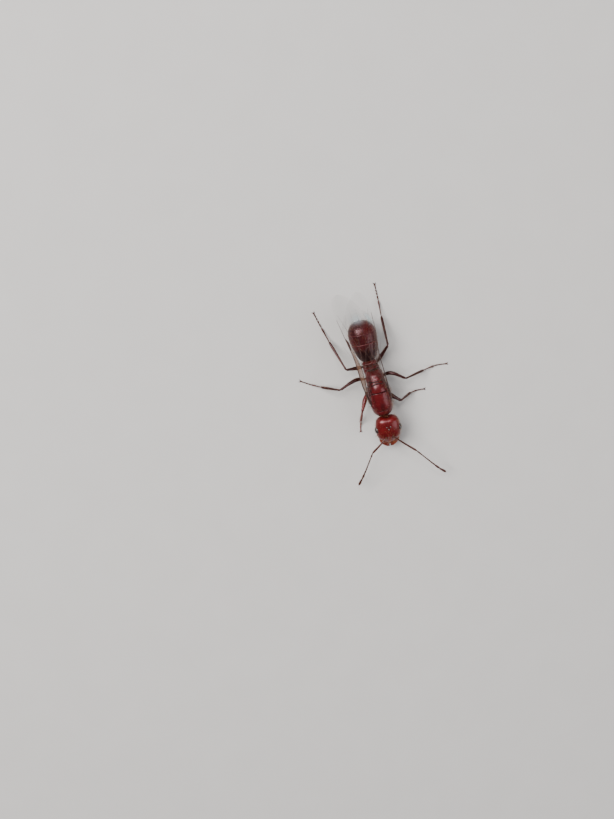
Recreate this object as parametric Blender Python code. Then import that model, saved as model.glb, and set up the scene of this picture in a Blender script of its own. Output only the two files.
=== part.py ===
"""Winged fire ant queen, life size, standing still with her wings laid back.

Metres, +Z up. The head points to -Y and the back of the ant faces +Z, so +X is
the ant's own left. The origin is on the floor, under the middle of her box.
"""

import math

import bmesh
import bpy
from mathutils import Euler, Vector

MM = 0.001

# Driving sizes, in metres.
GAP = 0.03 * MM                 # clearance between neighbouring shell plates
THORAX_HALF_WIDTH = 0.69 * MM
THORAX_CENTRE_X = 0.08 * MM
HEAD_LENGTH = 1.68 * MM         # occiput to the front edge of the clypeus
HEAD_HALF_WIDTH = 0.76 * MM
HEAD_HALF_DEPTH = 0.48 * MM
GASTER_FRONT = 1.96 * MM
GASTER_LENGTH = 2.52 * MM
GASTER_HALF_WIDTH = 0.83 * MM
GASTER_HALF_HEIGHT = 0.72 * MM
GASTER_CENTRE_Z = 1.45 * MM
LIMB_RADIUS = 0.25 * MM
WING_THICKNESS = 0.48 * MM
LOWER_WING_Z = 2.48 * MM        # level of the left wings over the gaster
UPPER_WING_Z = 2.99 * MM        # the right wings lie on top of them
TARSUS_Z = 0.225 * MM           # height of a tarsus' middle line: its sole is cut flat at the floor

LIMB_SIDES = 10
BODY_SIDES = 24
WAIST_SIDES = 16

# Pose of the head: turned a little to the ant's right, its front end lowered.
HEAD_PLACE = Vector((0.10, -2.55, 1.62)) * MM
HEAD_TURN = math.radians(-5)
HEAD_TILT = math.radians(12)


# ---------------------------------------------------------------- materials

def material(name, colour, roughness, alpha=1.0):
    """A plain finish for one kind of sub-part."""
    made = bpy.data.materials.new(name)
    made.use_nodes = True
    shader = made.node_tree.nodes["Principled BSDF"]
    shader.inputs["Base Color"].default_value = (*colour, 1)
    shader.inputs["Roughness"].default_value = roughness
    shader.inputs["Metallic"].default_value = 0
    shader.inputs["Alpha"].default_value = alpha
    return made


# ---------------------------------------------------------------- scene

def clear_scene():
    for old in list(bpy.data.objects):
        bpy.data.objects.remove(old, do_unlink=True)


def new_collection(name):
    made = bpy.data.collections.new(name)
    bpy.context.scene.collection.children.link(made)
    return made


def frame_empty(name, place, turn, parent=None):
    """An empty that carries several pieces in their own frame."""
    empty = bpy.data.objects.new(name, None)
    empty.location = place
    empty.rotation_euler = turn
    empty.parent = parent
    ANT.objects.link(empty)
    return empty


def keep(name, shape, origin, finish, parent, collection=None):
    """Turn a closed bmesh into a named object whose origin is `origin`, in its parent's frame."""
    bmesh.ops.recalc_face_normals(shape, faces=shape.faces)
    bmesh.ops.translate(shape, vec=-Vector(origin), verts=shape.verts)
    mesh = bpy.data.meshes.new(name)
    shape.to_mesh(mesh)
    shape.free()
    mesh.shade_smooth()
    mesh.set_sharp_from_angle(angle=math.radians(40))
    piece = bpy.data.objects.new(name, mesh)
    piece.location = origin
    piece.parent = parent
    (collection or ANT).objects.link(piece)
    if finish:
        mesh.materials.append(finish)
    else:
        piece.hide_render = True
        piece.display_type = "WIRE"
    return piece


def trim(piece, cutter):
    """Fit a piece to its neighbour: take away what would run into the neighbour's clearance."""
    cut = piece.modifiers.new("fit_" + cutter.name, "BOOLEAN")
    cut.operation = "DIFFERENCE"
    cut.object = cutter


# ---------------------------------------------------------------- shapes

def catmull(before, start, end, after, t):
    """One value on a smooth curve between start and end."""
    return 0.5 * (2 * start + (end - before) * t
                  + (2 * before - 5 * start + 4 * end - after) * t * t
                  + (3 * start - before - 3 * end + after) * t ** 3)


def smooth_rows(rows, steps):
    """Put steps - 1 more rows between each two rows of values."""
    out = []
    last = len(rows) - 1
    for i in range(last):
        near = [rows[max(i - 1, 0)], rows[i], rows[i + 1], rows[min(i + 2, last)]]
        for k in range(steps):
            out.append(tuple(catmull(*values, k / steps) for values in zip(*near)))
    out.append(tuple(rows[last]))
    return out


def bridge(rings):
    """A closed skin over rings of points, each end closed by one flat face."""
    shape = bmesh.new()
    made = [[shape.verts.new(point) for point in ring] for ring in rings]
    count = len(made[0])
    for near, far in zip(made, made[1:]):
        for k in range(count):
            after = (k + 1) % count
            shape.faces.new((near[k], near[after], far[after], far[k]))
    shape.faces.new(made[0])
    shape.faces.new(list(reversed(made[-1])))
    return shape


def rounded(value, power):
    return math.copysign(abs(value) ** (2 / power), value)


def body_ring(y, centre_x, half_width, low, high, sides, power):
    """A rounded cross-section of the body, standing across Y."""
    middle = (low + high) / 2
    half = (high - low) / 2
    ring = []
    for k in range(sides):
        angle = 2 * math.pi * (k + 0.5) / sides
        x = centre_x + half_width * rounded(math.cos(angle), power)
        z = middle + half * rounded(math.sin(angle), power)
        ring.append((x, y, z))
    return ring


def body_loft(rows, steps, sides, power, grow=0.0):
    """Loft over rows of (y, centre x, half width, low, high) in millimetres, swollen by grow."""
    rings = []
    for y, centre_x, half_width, low, high in smooth_rows(rows, steps):
        rings.append(body_ring(y * MM, centre_x * MM, half_width * MM + grow,
                               low * MM - grow, high * MM + grow, sides, power))
    return bridge(rings)


def cut_off(shape, point, outward):
    """Cut a closed shape with a plane, drop the side that `outward` points to and close the cut."""
    everything = shape.verts[:] + shape.edges[:] + shape.faces[:]
    cut = bmesh.ops.bisect_plane(shape, geom=everything, plane_co=point, plane_no=outward,
                                 dist=1e-9, clear_outer=True)
    rim = [e for e in cut["geom_cut"] if isinstance(e, bmesh.types.BMEdge)]
    if rim:
        bmesh.ops.contextual_create(shape, geom=rim)


def slices(whole, cuts):
    """Part a long body across Y, with a gap at each cut; give the pieces front to back."""
    pieces = []
    limits = [None] + list(cuts) + [None]
    for front, rear in zip(limits, limits[1:]):
        piece = whole.copy()
        if front is not None:
            cut_off(piece, (0, front + GAP / 2, 0), (0, -1, 0))
        if rear is not None:
            cut_off(piece, (0, rear - GAP / 2, 0), (0, 1, 0))
        pieces.append(piece)
    whole.free()
    return pieces


def path_rings(points, radii, sides):
    """Round rings along a path; the radii are spread evenly over its length."""
    lengths = [0.0]
    for near, far in zip(points, points[1:]):
        lengths.append(lengths[-1] + (far - near).length)
    rings = []
    for k, radius in enumerate(radii):
        reach = lengths[-1] * k / (len(radii) - 1)
        leg = max(i for i in range(len(points) - 1) if lengths[i] <= reach or i == 0)
        along = (points[leg + 1] - points[leg]).normalized()
        centre = points[leg] + along * (reach - lengths[leg])
        ahead = (points[-1] - points[0]).normalized()
        across = ahead.cross(Vector((0, 0, 1))).normalized()
        upward = across.cross(ahead).normalized()
        ring = []
        for side in range(sides):
            angle = 2 * math.pi * side / sides
            ring.append(centre + radius * (math.cos(angle) * across + math.sin(angle) * upward))
        rings.append(ring)
    return rings


def mitre(before, joint, after):
    """The plane between two segments that meet at a joint: its normal points on to the next one."""
    return ((joint - before).normalized() + (after - joint).normalized()).normalized()


def limb(points, radii, start_normal=None, end_normal=None):
    """A tapering limb segment. A normal at an end makes it meet its neighbour in a mitred joint."""
    points = [Vector(p) * MM for p in points]
    first, last = points[0].copy(), points[-1].copy()
    if start_normal is not None:
        points[0] = first + (first - points[1]).normalized() * LIMB_RADIUS
    if end_normal is not None:
        points[-1] = last + (last - points[-2]).normalized() * LIMB_RADIUS
    shape = bridge(path_rings(points, [radius * MM for radius in radii], LIMB_SIDES))
    if start_normal is not None:
        cut_off(shape, first + start_normal * GAP / 2, -start_normal)
    if end_normal is not None:
        cut_off(shape, last - end_normal * GAP / 2, end_normal)
    return shape


def blade(rows, steps):
    """A wing: rows of (y, front edge x, rear edge x, z) in millimetres, of even thickness."""
    half = WING_THICKNESS / 2
    rings = []
    for y, front, rear, z in smooth_rows(rows, steps):
        y, front, rear, z = y * MM, front * MM, rear * MM, z * MM
        rings.append([(front, y, z - half), (rear, y, z - half),
                      (rear, y, z + half), (front, y, z + half)])
    return bridge(rings)


# ---------------------------------------------------------------- the trunk

# Rows of (y, centre x, half width, low, high) in millimetres, front to back.
MID = THORAX_CENTRE_X / MM
WIDE = THORAX_HALF_WIDTH / MM
THORAX_ROWS = (
    (-1.64, MID, 0.22, 1.46, 1.88),
    (-1.58, MID, 0.36, 1.34, 2.00),
    (-1.44, MID, 0.52, 1.22, 2.12),
    (-1.22, MID, 0.62, 1.13, 2.24),
    (-0.90, MID, 0.67, 1.08, 2.36),
    (-0.45, MID, WIDE, 1.05, 2.43),
    (0.10, MID, 0.67, 1.05, 2.45),
    (0.55, MID, 0.58, 1.07, 2.39),
    (0.90, MID, 0.54, 1.10, 2.21),
    (1.15, MID, 0.50, 1.15, 2.10),
    (1.36, 0.05, 0.36, 1.24, 1.88),
)
THORAX_CUTS = (-0.80 * MM, 0.34 * MM, 0.78 * MM)
THORAX_NAMES = ("pronotum", "mesothorax", "metathorax", "propodeum")

PETIOLE_ROWS = (
    (1.39, 0.04, 0.20, 1.40, 1.72),
    (1.45, 0.04, 0.32, 1.33, 1.90),
    (1.55, 0.03, 0.40, 1.29, 2.04),
    (1.64, 0.02, 0.37, 1.31, 1.98),
    (1.69, 0.01, 0.25, 1.38, 1.80),
)
POSTPETIOLE_ROWS = (
    (1.72, 0.01, 0.28, 1.35, 1.80),
    (1.77, 0.00, 0.43, 1.25, 1.93),
    (1.86, 0.00, 0.48, 1.20, 1.98),
    (1.94, -0.01, 0.36, 1.24, 1.88),
)


def build_trunk():
    whole = body_loft(THORAX_ROWS, 2, BODY_SIDES, 2.3)
    for name, shape in zip(THORAX_NAMES, slices(whole, THORAX_CUTS)):
        keep(name, shape, (THORAX_CENTRE_X, 0, 1.75 * MM), RED_SHELL, BODY)
    keep("petiole", body_loft(PETIOLE_ROWS, 2, WAIST_SIDES, 2.2),
         (0, 1.56 * MM, 1.6 * MM), RED_SHELL, BODY)
    keep("postpetiole", body_loft(POSTPETIOLE_ROWS, 2, WAIST_SIDES, 2.2),
         (0, 1.83 * MM, 1.6 * MM), RED_SHELL, BODY)
    return keep("thorax_room", body_loft(THORAX_ROWS, 2, BODY_SIDES, 2.3, GAP), (0, 0, 0), None,
                BODY, CUTTERS)


# ---------------------------------------------------------------- the gaster

# Where each ring ends, as shares of the gaster's length. The egg is blunter in front than behind
# (the smaller the power, the blunter), and its rear half is the wider one by the swell.
GASTER_RINGS = (0.470, 0.725, 0.878)
GASTER_FRONT_POWER = 0.45
GASTER_REAR_POWER = 0.72
GASTER_SWELL = 0.22


def build_gaster():
    """An egg of four rings, one behind the other, widest towards the rear."""
    rows = 16
    rings = []
    for k in range(1, rows):
        angle = math.pi * k / rows
        along = (1 - math.cos(angle)) / 2
        power = GASTER_FRONT_POWER if along < 0.5 else GASTER_REAR_POWER
        fullness = math.sin(angle) ** power * (1 - GASTER_SWELL * math.cos(angle))
        lift = 0.05 * MM * (1 - along)
        rings.append(body_ring(GASTER_FRONT + GASTER_LENGTH * along, -0.01 * MM,
                               GASTER_HALF_WIDTH * fullness,
                               GASTER_CENTRE_Z + lift - GASTER_HALF_HEIGHT * fullness,
                               GASTER_CENTRE_Z + lift + GASTER_HALF_HEIGHT * fullness,
                               BODY_SIDES, 2.1))
    cuts = [GASTER_FRONT + GASTER_LENGTH * share for share in GASTER_RINGS]
    for number, shape in enumerate(slices(bridge(rings), cuts), 1):
        keep("gaster_%d" % number, shape, (0, 3.2 * MM, GASTER_CENTRE_Z), DARK_SHELL, BODY)


# ---------------------------------------------------------------- the head

# Rows in the head's own frame, occiput to clypeus, in millimetres.
HALF = HEAD_LENGTH / MM / 2
BROAD = HEAD_HALF_WIDTH / MM
DEEP = HEAD_HALF_DEPTH / MM
HEAD_ROWS = (
    (HALF, 0, 0.34, -0.20, 0.20),
    (HALF - 0.07, 0, 0.55, -0.31, 0.32),
    (HALF - 0.24, 0, 0.69, -0.42, 0.43),
    (HALF - 0.55, 0, 0.75, -DEEP, DEEP),
    (HALF - 0.95, 0, BROAD, -DEEP, 0.47),
    (-HALF + 0.36, 0, 0.71, -0.43, 0.37),
    (-HALF + 0.13, 0, 0.58, -0.36, 0.24),
    (-HALF, 0, 0.37, -0.26, 0.10),
)
EYE_SIZE = Vector((0.14, 0.23, 0.20)) * MM
EYE_OUT = 0.71 * MM
EYE_ALONG = 0.04 * MM
EYE_UP = 0.08 * MM


def eye_shape(grow):
    shape = bmesh.new()
    bmesh.ops.create_uvsphere(shape, u_segments=14, v_segments=8, radius=1)
    bmesh.ops.scale(shape, vec=EYE_SIZE + Vector((grow, grow, grow)), verts=shape.verts)
    return shape


# A jaw leaves the corner of the head and curves in to meet its fellow on the middle line.
MANDIBLE_ROWS = (
    (-0.64, 0.44, 0.15, -0.28, -0.02),
    (-0.86, 0.37, 0.26, -0.35, 0.00),
    (-0.98, 0.32, 0.29, -0.37, -0.02),
    (-1.14, 0.26, 0.24, -0.37, -0.06),
    (-1.30, 0.18, 0.16, -0.36, -0.12),
    (-1.42, 0.10, 0.08, -0.34, -0.20),
)


def mandible_shape(side):
    rows = [(y, side * x, half, low, high) for y, x, half, low, high in MANDIBLE_ROWS]
    return body_loft(rows, 2, 12, 2.2)


def build_head():
    frame = frame_empty("head_frame", HEAD_PLACE, Euler((HEAD_TILT, 0, HEAD_TURN)), BODY)
    head = keep("head", body_loft(HEAD_ROWS, 2, BODY_SIDES, 2.35), (0, 0, 0), RED_SHELL, frame)
    room = keep("head_room", body_loft(HEAD_ROWS, 2, BODY_SIDES, 2.35, GAP), (0, 0, 0), None,
                frame, CUTTERS)
    for side, word in SIDES:
        centre = Vector((side * EYE_OUT, EYE_ALONG, EYE_UP))
        eye = keep("eye_" + word, eye_shape(0), (0, 0, 0), BLACK_EYE, frame)
        socket = keep("socket_" + word, eye_shape(GAP), (0, 0, 0), None, frame, CUTTERS)
        eye.location = centre
        socket.location = centre
        trim(head, socket)
        jaw = keep("mandible_" + word, mandible_shape(side),
                   (side * 0.44 * MM, -0.7 * MM, -0.14 * MM), JAW_SHELL, frame)
        trim(jaw, room)
    return room


# ---------------------------------------------------------------- antennae

# Socket, elbow, a middle point of the lash, and its tip.
ANTENNAE = {
    "left": ((0.30, -3.02, 1.82), (1.46, -4.44, 1.72), (2.52, -6.05, 1.20), (2.98, -6.66, 0.86)),
    "right": ((-0.18, -3.00, 1.82), (-1.22, -3.84, 1.72), (-2.06, -5.26, 1.20), (-2.55, -5.98, 0.86)),
}


def build_antennae(head_room):
    for word, (socket, elbow, middle, tip) in ANTENNAE.items():
        joint = mitre(Vector(socket), Vector(elbow), Vector(middle))
        scape = limb((socket, elbow), (0.16, 0.22, 0.25, 0.25, 0.25, 0.25), end_normal=joint)
        lash = limb((elbow, middle, tip), (0.25, 0.25, 0.24, 0.24, 0.25, 0.26, 0.24, 0.14),
                    start_normal=joint)
        trim(keep("scape_" + word, scape, Vector(socket) * MM, BROWN_SHELL, BODY), head_room)
        keep("funiculus_" + word, lash, Vector(elbow) * MM, BROWN_SHELL, BODY)


# ---------------------------------------------------------------- legs

# Hip, end of the coxa, (bend of the femur,) knee, ankle, toe: x, y, z in millimetres.
SOLE = TARSUS_Z / MM
LEGS = {
    "fore_left": {
        "coxa": ((0.32, -0.86, 1.30), (0.46, -0.47, 0.74)),
        "femur": ((0.46, -0.47, 0.74), (1.31, -1.17, 1.22)),
        "tibia": ((1.31, -1.17, 1.22), (2.06, -1.13, 0.38)),
        "tarsus": ((2.06, -1.13, 0.38), (2.50, -1.18, SOLE), (2.98, -1.24, SOLE)),
    },
    "fore_right": {
        "coxa": ((-0.20, -0.84, 1.30), (-0.62, -0.27, 0.76)),
        "femur": ((-0.62, -0.27, 0.76), (-1.16, -1.25, 1.08)),
        "tibia": ((-1.16, -1.25, 1.08), (-1.37, -2.08, 0.38)),
        "tarsus": ((-1.37, -2.08, 0.38), (-1.44, -2.40, SOLE), (-1.54, -2.84, SOLE)),
    },
    "mid_left": {
        "coxa": ((0.34, 0.26, 1.30), (0.46, 0.55, 0.74)),
        "femur": ((0.46, 0.55, 0.74), (1.12, 0.72, 1.22), (1.93, 0.18, 1.40)),
        "tibia": ((1.93, 0.18, 1.40), (3.18, 0.06, 0.38)),
        "tarsus": ((3.18, 0.06, 0.38), (3.95, 0.07, SOLE), (4.72, -0.03, SOLE)),
    },
    "mid_right": {
        "coxa": ((-0.22, 0.36, 1.30), (-0.38, 0.62, 0.74)),
        "femur": ((-0.38, 0.62, 0.74), (-1.10, 0.84, 1.16), (-2.16, 0.56, 1.40)),
        "tibia": ((-2.16, 0.56, 1.40), (-3.20, 0.72, 0.38)),
        "tarsus": ((-3.20, 0.72, 0.38), (-3.80, 1.00, SOLE), (-4.38, 1.38, SOLE)),
    },
    "hind_left": {
        "coxa": ((0.30, 0.98, 1.34), (0.42, 1.42, 0.76)),
        "femur": ((0.42, 1.42, 0.76), (1.36, 2.52, 1.40)),
        "tibia": ((1.36, 2.52, 1.40), (1.46, 4.10, 0.38)),
        "tarsus": ((1.46, 4.10, 0.38), (1.53, 5.10, SOLE), (1.56, 6.14, SOLE)),
    },
    "hind_right": {
        "coxa": ((-0.20, 0.98, 1.34), (-0.34, 1.40, 0.76)),
        "femur": ((-0.34, 1.40, 0.76), (-1.48, 1.68, 1.32)),
        "tibia": ((-1.48, 1.68, 1.32), (-2.02, 3.38, 0.38)),
        "tarsus": ((-2.02, 3.38, 0.38), (-2.28, 4.40, SOLE), (-2.50, 5.38, SOLE)),
    },
}
RADII = {
    "coxa": (0.27, 0.29, 0.29, 0.26, 0.24),
    "femur": (0.22, 0.24, 0.26, 0.26, 0.25, 0.24),
    "tibia": (0.23, 0.24, 0.25, 0.25, 0.24),
    "tarsus": (0.24, 0.25, 0.25, 0.25, 0.25, 0.20),
}


def build_legs(thorax_room):
    for leg, parts in LEGS.items():
        order = list(parts)
        for number, part in enumerate(order):
            points = [Vector(p) for p in parts[part]]
            start = end = None
            if number > 0:
                start = mitre(Vector(parts[order[number - 1]][-2]), points[0], points[1])
            if number < 3:
                end = mitre(points[-2], points[-1], Vector(parts[order[number + 1]][1]))
            shape = limb(points, RADII[part], start, end)
            if part == "tarsus":
                cut_off(shape, (0, 0, 0), (0, 0, -1))
            piece = keep("%s_%s" % (part, leg), shape, points[0] * MM, BROWN_SHELL, BODY)
            if part in ("coxa", "femur"):
                trim(piece, thorax_room)


# ---------------------------------------------------------------- wings

# Rows of (y, front edge x, rear edge x, z). The front edge is the outer one of a wing laid back.
LOW = LOWER_WING_Z / MM
TOP = UPPER_WING_Z / MM
SEAM = 0.04                     # between a fore wing and the hind wing hooked to it
FOREWING_RIGHT = (
    (-0.82, -0.98, -0.68, 2.10),
    (-0.10, -1.02, -0.66, 2.32),
    (0.60, -0.96, -0.58, 2.62),
    (1.20, -0.90, -0.40, 2.90),
    (1.90, -0.84, 0.00, TOP),
    (2.80, -0.92, 0.42, TOP),
    (3.80, -1.08, 0.58, TOP),
    (4.80, -1.27, 0.46, TOP),
    (5.70, -1.40, 0.18, TOP),
    (6.30, -1.42, -0.18, TOP),
    (6.68, -1.29, -0.54, TOP),
    (6.86, -1.10, -0.82, TOP),
)
FOREWING_LEFT = (
    (-0.66, 1.00, 0.68, 2.10),
    (-0.10, 0.98, 0.66, 2.32),
    (0.45, 0.86, 0.54, 2.46),
    (1.05, 0.68, 0.34, LOW),
    (1.80, 0.60, -0.12, LOW),
    (2.60, 0.66, -0.62, LOW),
    (3.50, 0.76, -0.92, LOW),
    (4.50, 0.82, -0.92, LOW),
    (5.40, 0.80, -0.72, LOW),
    (6.00, 0.70, -0.40, LOW),
    (6.38, 0.52, -0.10, LOW),
    (6.56, 0.32, 0.08, LOW),
)
HIND_ROOT_RIGHT = ((0.78, -0.54, -0.24, 2.36), (1.18, -0.36, -0.10, 2.94))
HIND_ROOT_LEFT = ((0.74, 0.48, 0.26, 2.42), (1.20, 0.26, -0.02, LOW - 0.02))
HIND_WIDTHS = ((0.28, 0.30), (0.42, 0.50), (0.58, 0.56), (0.72, 0.40), (0.80, 0.12))


def hind_rows(fore, root, side):
    """A hind wing's front edge follows the rear edge of its fore wing, from the waist outwards."""
    rows = list(root)
    for row, (reach, width) in zip(fore[4:9], HIND_WIDTHS):
        y, _, rear, z = row
        front = rear + side * SEAM
        rows.append((y - 0.12, front, front + side * width, z))
    return rows


def build_wings(thorax_room):
    for word, rows, root, inward in (("right", FOREWING_RIGHT, HIND_ROOT_RIGHT, 1),
                                     ("left", FOREWING_LEFT, HIND_ROOT_LEFT, -1)):
        fore = keep("forewing_" + word, blade(rows, 1), Vector((rows[0][1], rows[0][0], rows[0][3])) * MM,
                    CLEAR_WING, BODY)
        trim(fore, thorax_room)
        base = root[0]
        hind = keep("hindwing_" + word, blade(hind_rows(rows, root, inward), 1),
                    Vector((base[1], base[0], base[3])) * MM, CLEAR_WING, BODY)
        trim(hind, thorax_room)


# ---------------------------------------------------------------- build

def settle_on_origin():
    """Move the whole ant so that the middle of her box is over the origin, soles at z = 0."""
    bpy.context.view_layer.update()
    graph = bpy.context.evaluated_depsgraph_get()
    low = Vector((1, 1, 1))
    high = -low
    for piece in ANT.objects:
        if piece.type != "MESH":
            continue
        shown = piece.evaluated_get(graph)
        for corner in shown.bound_box:
            at = shown.matrix_world @ Vector(corner)
            low = Vector(map(min, low, at))
            high = Vector(map(max, high, at))
    BODY.location = (-(low.x + high.x) / 2, -(low.y + high.y) / 2, 0)


clear_scene()
SIDES = ((1, "left"), (-1, "right"))
ANT = new_collection("winged_fire_ant_queen")
CUTTERS = new_collection("cutters")
CUTTERS.hide_render = True
RED_SHELL = material("red_shell", (0.26, 0.035, 0.022), 0.28)
DARK_SHELL = material("dark_shell", (0.07, 0.014, 0.012), 0.2)
BROWN_SHELL = material("brown_shell", (0.09, 0.03, 0.02), 0.35)
JAW_SHELL = material("jaw_shell", (0.22, 0.07, 0.03), 0.35)
BLACK_EYE = material("black_eye", (0.012, 0.010, 0.010), 0.18)
CLEAR_WING = material("clear_wing", (0.62, 0.55, 0.45), 0.25, 0.35)
BODY = frame_empty("body", (0, 0, 0), (0, 0, 0))

THORAX_ROOM = build_trunk()
build_gaster()
HEAD_ROOM = build_head()
build_antennae(HEAD_ROOM)
build_legs(THORAX_ROOM)
build_wings(THORAX_ROOM)
settle_on_origin()
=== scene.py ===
# %% [markdown]
# # A winged fire ant queen, finished for a show case
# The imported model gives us 47 plain solids: head, jaws, eyes, feelers, trunk, waist, gaster,
# legs and wings, each at its real size. Here every one of them gets its real form.
# An ant is a suit of armour. Hard domed plates meet in soft grooves, and long golden bristles
# stand out of the polish. So we build plates that curl under at their rims, tubes that swell
# and pinch like leg joints, and thin films with raised veins for the wings.
# The script works in the ant's own millimetres. The head points to -Y and her back faces +Z.

import math
import random

import bmesh
import bpy
from mathutils import Euler, Matrix, Vector, kdtree


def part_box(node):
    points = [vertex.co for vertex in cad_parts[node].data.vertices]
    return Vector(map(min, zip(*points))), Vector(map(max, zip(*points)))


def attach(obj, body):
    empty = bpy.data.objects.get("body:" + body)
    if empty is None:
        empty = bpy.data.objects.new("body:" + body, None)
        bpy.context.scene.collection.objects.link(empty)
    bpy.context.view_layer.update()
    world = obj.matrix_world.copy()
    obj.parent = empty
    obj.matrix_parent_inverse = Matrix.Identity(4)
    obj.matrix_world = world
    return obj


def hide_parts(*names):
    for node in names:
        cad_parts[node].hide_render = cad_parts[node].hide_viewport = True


MM = 0.001


def in_mm(size):
    """Metres to rounded millimetres, for printing."""
    return [round(value / MM, 2) for value in size]


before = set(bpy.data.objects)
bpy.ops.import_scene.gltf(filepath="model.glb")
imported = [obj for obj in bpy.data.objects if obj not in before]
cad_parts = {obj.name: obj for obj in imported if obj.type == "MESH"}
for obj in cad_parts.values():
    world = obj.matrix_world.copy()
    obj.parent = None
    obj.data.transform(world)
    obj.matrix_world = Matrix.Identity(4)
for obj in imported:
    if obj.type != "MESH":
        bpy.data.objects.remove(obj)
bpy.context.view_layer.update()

# %% Find the ant's own zero
# The front face of the mesothorax stands at a known place, so it ties our millimetres to
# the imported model.
THORAX_X = 0.08
MESOTHORAX_FRONT = -0.785
box_low, box_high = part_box("mesothorax")
HOME = Vector(((box_low.x + box_high.x) / 2 - THORAX_X * MM, box_low.y - MESOTHORAX_FRONT * MM, 0))


def place(x, y, z):
    """A point in the ant's millimetres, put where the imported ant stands."""
    return Vector((x, y, z)) * MM + HOME


print("home is shifted by", in_mm(HOME), "mm")

# %% [markdown]
# ## Writing shader maths as plain sums
# A finish is a small network of nodes. Adding each node by hand hides the idea behind it, so a
# `Wire` stands for one value that flows between nodes, and `0 - tone` on it adds the Math node.
# A `Finish` is the material: it adds any other node and sets the shader's own sockets.

# %% One value in a finish
class Wire:
    """One output socket. Sums on it add Math nodes."""

    def __init__(self, finish, socket):
        self.finish = finish
        self.socket = socket

    def maths(self, operation, *values):
        return self.finish.node("ShaderNodeMath", {"operation": operation}, dict(enumerate(values)))

    def __add__(self, other):
        return self.maths("ADD", self, other)

    def __sub__(self, other):
        return self.maths("SUBTRACT", self, other)

    def __rsub__(self, other):
        return self.maths("SUBTRACT", other, self)

    def __mul__(self, other):
        return self.maths("MULTIPLY", self, other)

    def clamped(self):
        return self.maths("MINIMUM", self.maths("MAXIMUM", self, 0.0), 1.0)

    __radd__ = __add__
    __rmul__ = __mul__


print("a Wire knows +, -, * and clamped()")


# %% The finish itself
class Finish:
    """A material with one Principled shader, and the wires that lead to it."""

    def __init__(self, name, **constants):
        self.material = bpy.data.materials.new(name)
        self.material.use_nodes = True
        self.tree = self.material.node_tree
        self.shader = self.tree.nodes["Principled BSDF"]
        self.feed(self.shader, constants)

    def feed(self, node, sockets):
        """Give each named socket its value or its wire. Names may use _ for a space."""
        for name, value in sockets.items():
            key = name if isinstance(name, int) else name.replace("_", " ")
            socket = node.inputs[key]
            if isinstance(value, Wire):
                self.tree.links.new(value.socket, socket)
            else:
                socket.default_value = value

    def node(self, kind, settings=None, sockets=None, give=0):
        """Add a node: its settings first, then its sockets. Returns one of its outputs."""
        made = self.tree.nodes.new(kind)
        for name, value in (settings or {}).items():
            setattr(made, name, value)
        self.feed(made, sockets or {})
        return Wire(self, made.outputs[give])

    def blend(self, factor, first, second):
        """Mix two colours."""
        first = first if isinstance(first, Wire) else (*first, 1)
        second = second if isinstance(second, Wire) else (*second, 1)
        return self.node("ShaderNodeMix", {"data_type": "RGBA"}, {0: factor, 6: first, 7: second}, 2)

    def millimetres(self):
        """Where we are on the ant, so that a noise scale reads as spots per millimetre."""
        spot = self.node("ShaderNodeTexCoord", give="Object")
        return self.node("ShaderNodeVectorMath", {"operation": "SCALE"}, {0: spot, "Scale": 1 / MM})

    def speckle(self, per_mm, detail=2.0):
        return self.node("ShaderNodeTexNoise", None,
                         {"Vector": self.millimetres(), "Scale": per_mm, "Detail": detail})

    def tone(self):
        """The value that the mesh itself carries, point by point."""
        return self.node("ShaderNodeAttribute", {"attribute_name": "tone"}, give="Fac")

    def relief(self, height, depth_mm):
        """Dents and grain of a given depth, for the shader's Normal."""
        return self.node("ShaderNodeBump", None,
                         {"Strength": 1.0, "Distance": depth_mm * MM, "Height": height})

    def wear(self, **sockets):
        self.feed(self.shader, sockets)
        return self.material


print("finish kit ready")

# %% [markdown]
# ## The armour's finish
# Fire ant shell is smooth, thin and a little see-through, like brown bottle glass over red.
# The colour comes from four things: a deep base, lighter clouds where the shell is thin, dark seams with
# painted shade at plate rims and in shaded places, and a pale edge where one plate slides over the next,
# which on the gaster also carries a painted highlight. The last two need to know the shape, so each mesh
# carries a value called `tone`: above zero darkens, below it turns pale. A thin clear coat gives the wet
# shine, and shallow grain breaks it up. Light that glances off real shell has passed its reddish skin, so the
# plain reflection is tinted too.

# %% Shell colours
SHELL_SHINE = {"IOR": 1.46, "Coat_IOR": 1.5, "Coat_Roughness": 0.14, "Specular_Tint": (1.0, 0.58, 0.62, 1.0)}
GRAIN_DEPTH = 0.0012            # mm


def shell_finish(name, deep, bright, dark, pale, gloss, coat, clouds=2.6):
    """Ant shell from its deep and bright colours, its colour for seams and painted shade, and its colour for
    pale edges and painted highlights. clouds counts them per mm.
    """
    finish = Finish(name, Coat_Weight=coat, **SHELL_SHINE)
    tone = finish.tone()
    cloud = finish.speckle(clouds, 3.0)
    fine = finish.speckle(38.0, 2.0)
    body = finish.blend((cloud * 2.6 - 0.8).clamped(), deep, bright)
    # Above zero the tone darkens towards the seam colour, which is also painted shade. Below zero it pales,
    # which on the gaster's rear edges is also a painted highlight.
    seams_and_painted_shade = finish.blend(tone.clamped(), body, dark)
    pale_edges_and_highlights = finish.blend((0 - tone).clamped(), seams_and_painted_shade, pale)
    return finish.wear(
        Base_Color=pale_edges_and_highlights,
        Roughness=gloss + fine * 0.12 + cloud * 0.08,
        Normal=finish.relief(fine * 0.6 + finish.speckle(95.0, 1.0) * 0.4, GRAIN_DEPTH),
    )


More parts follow.
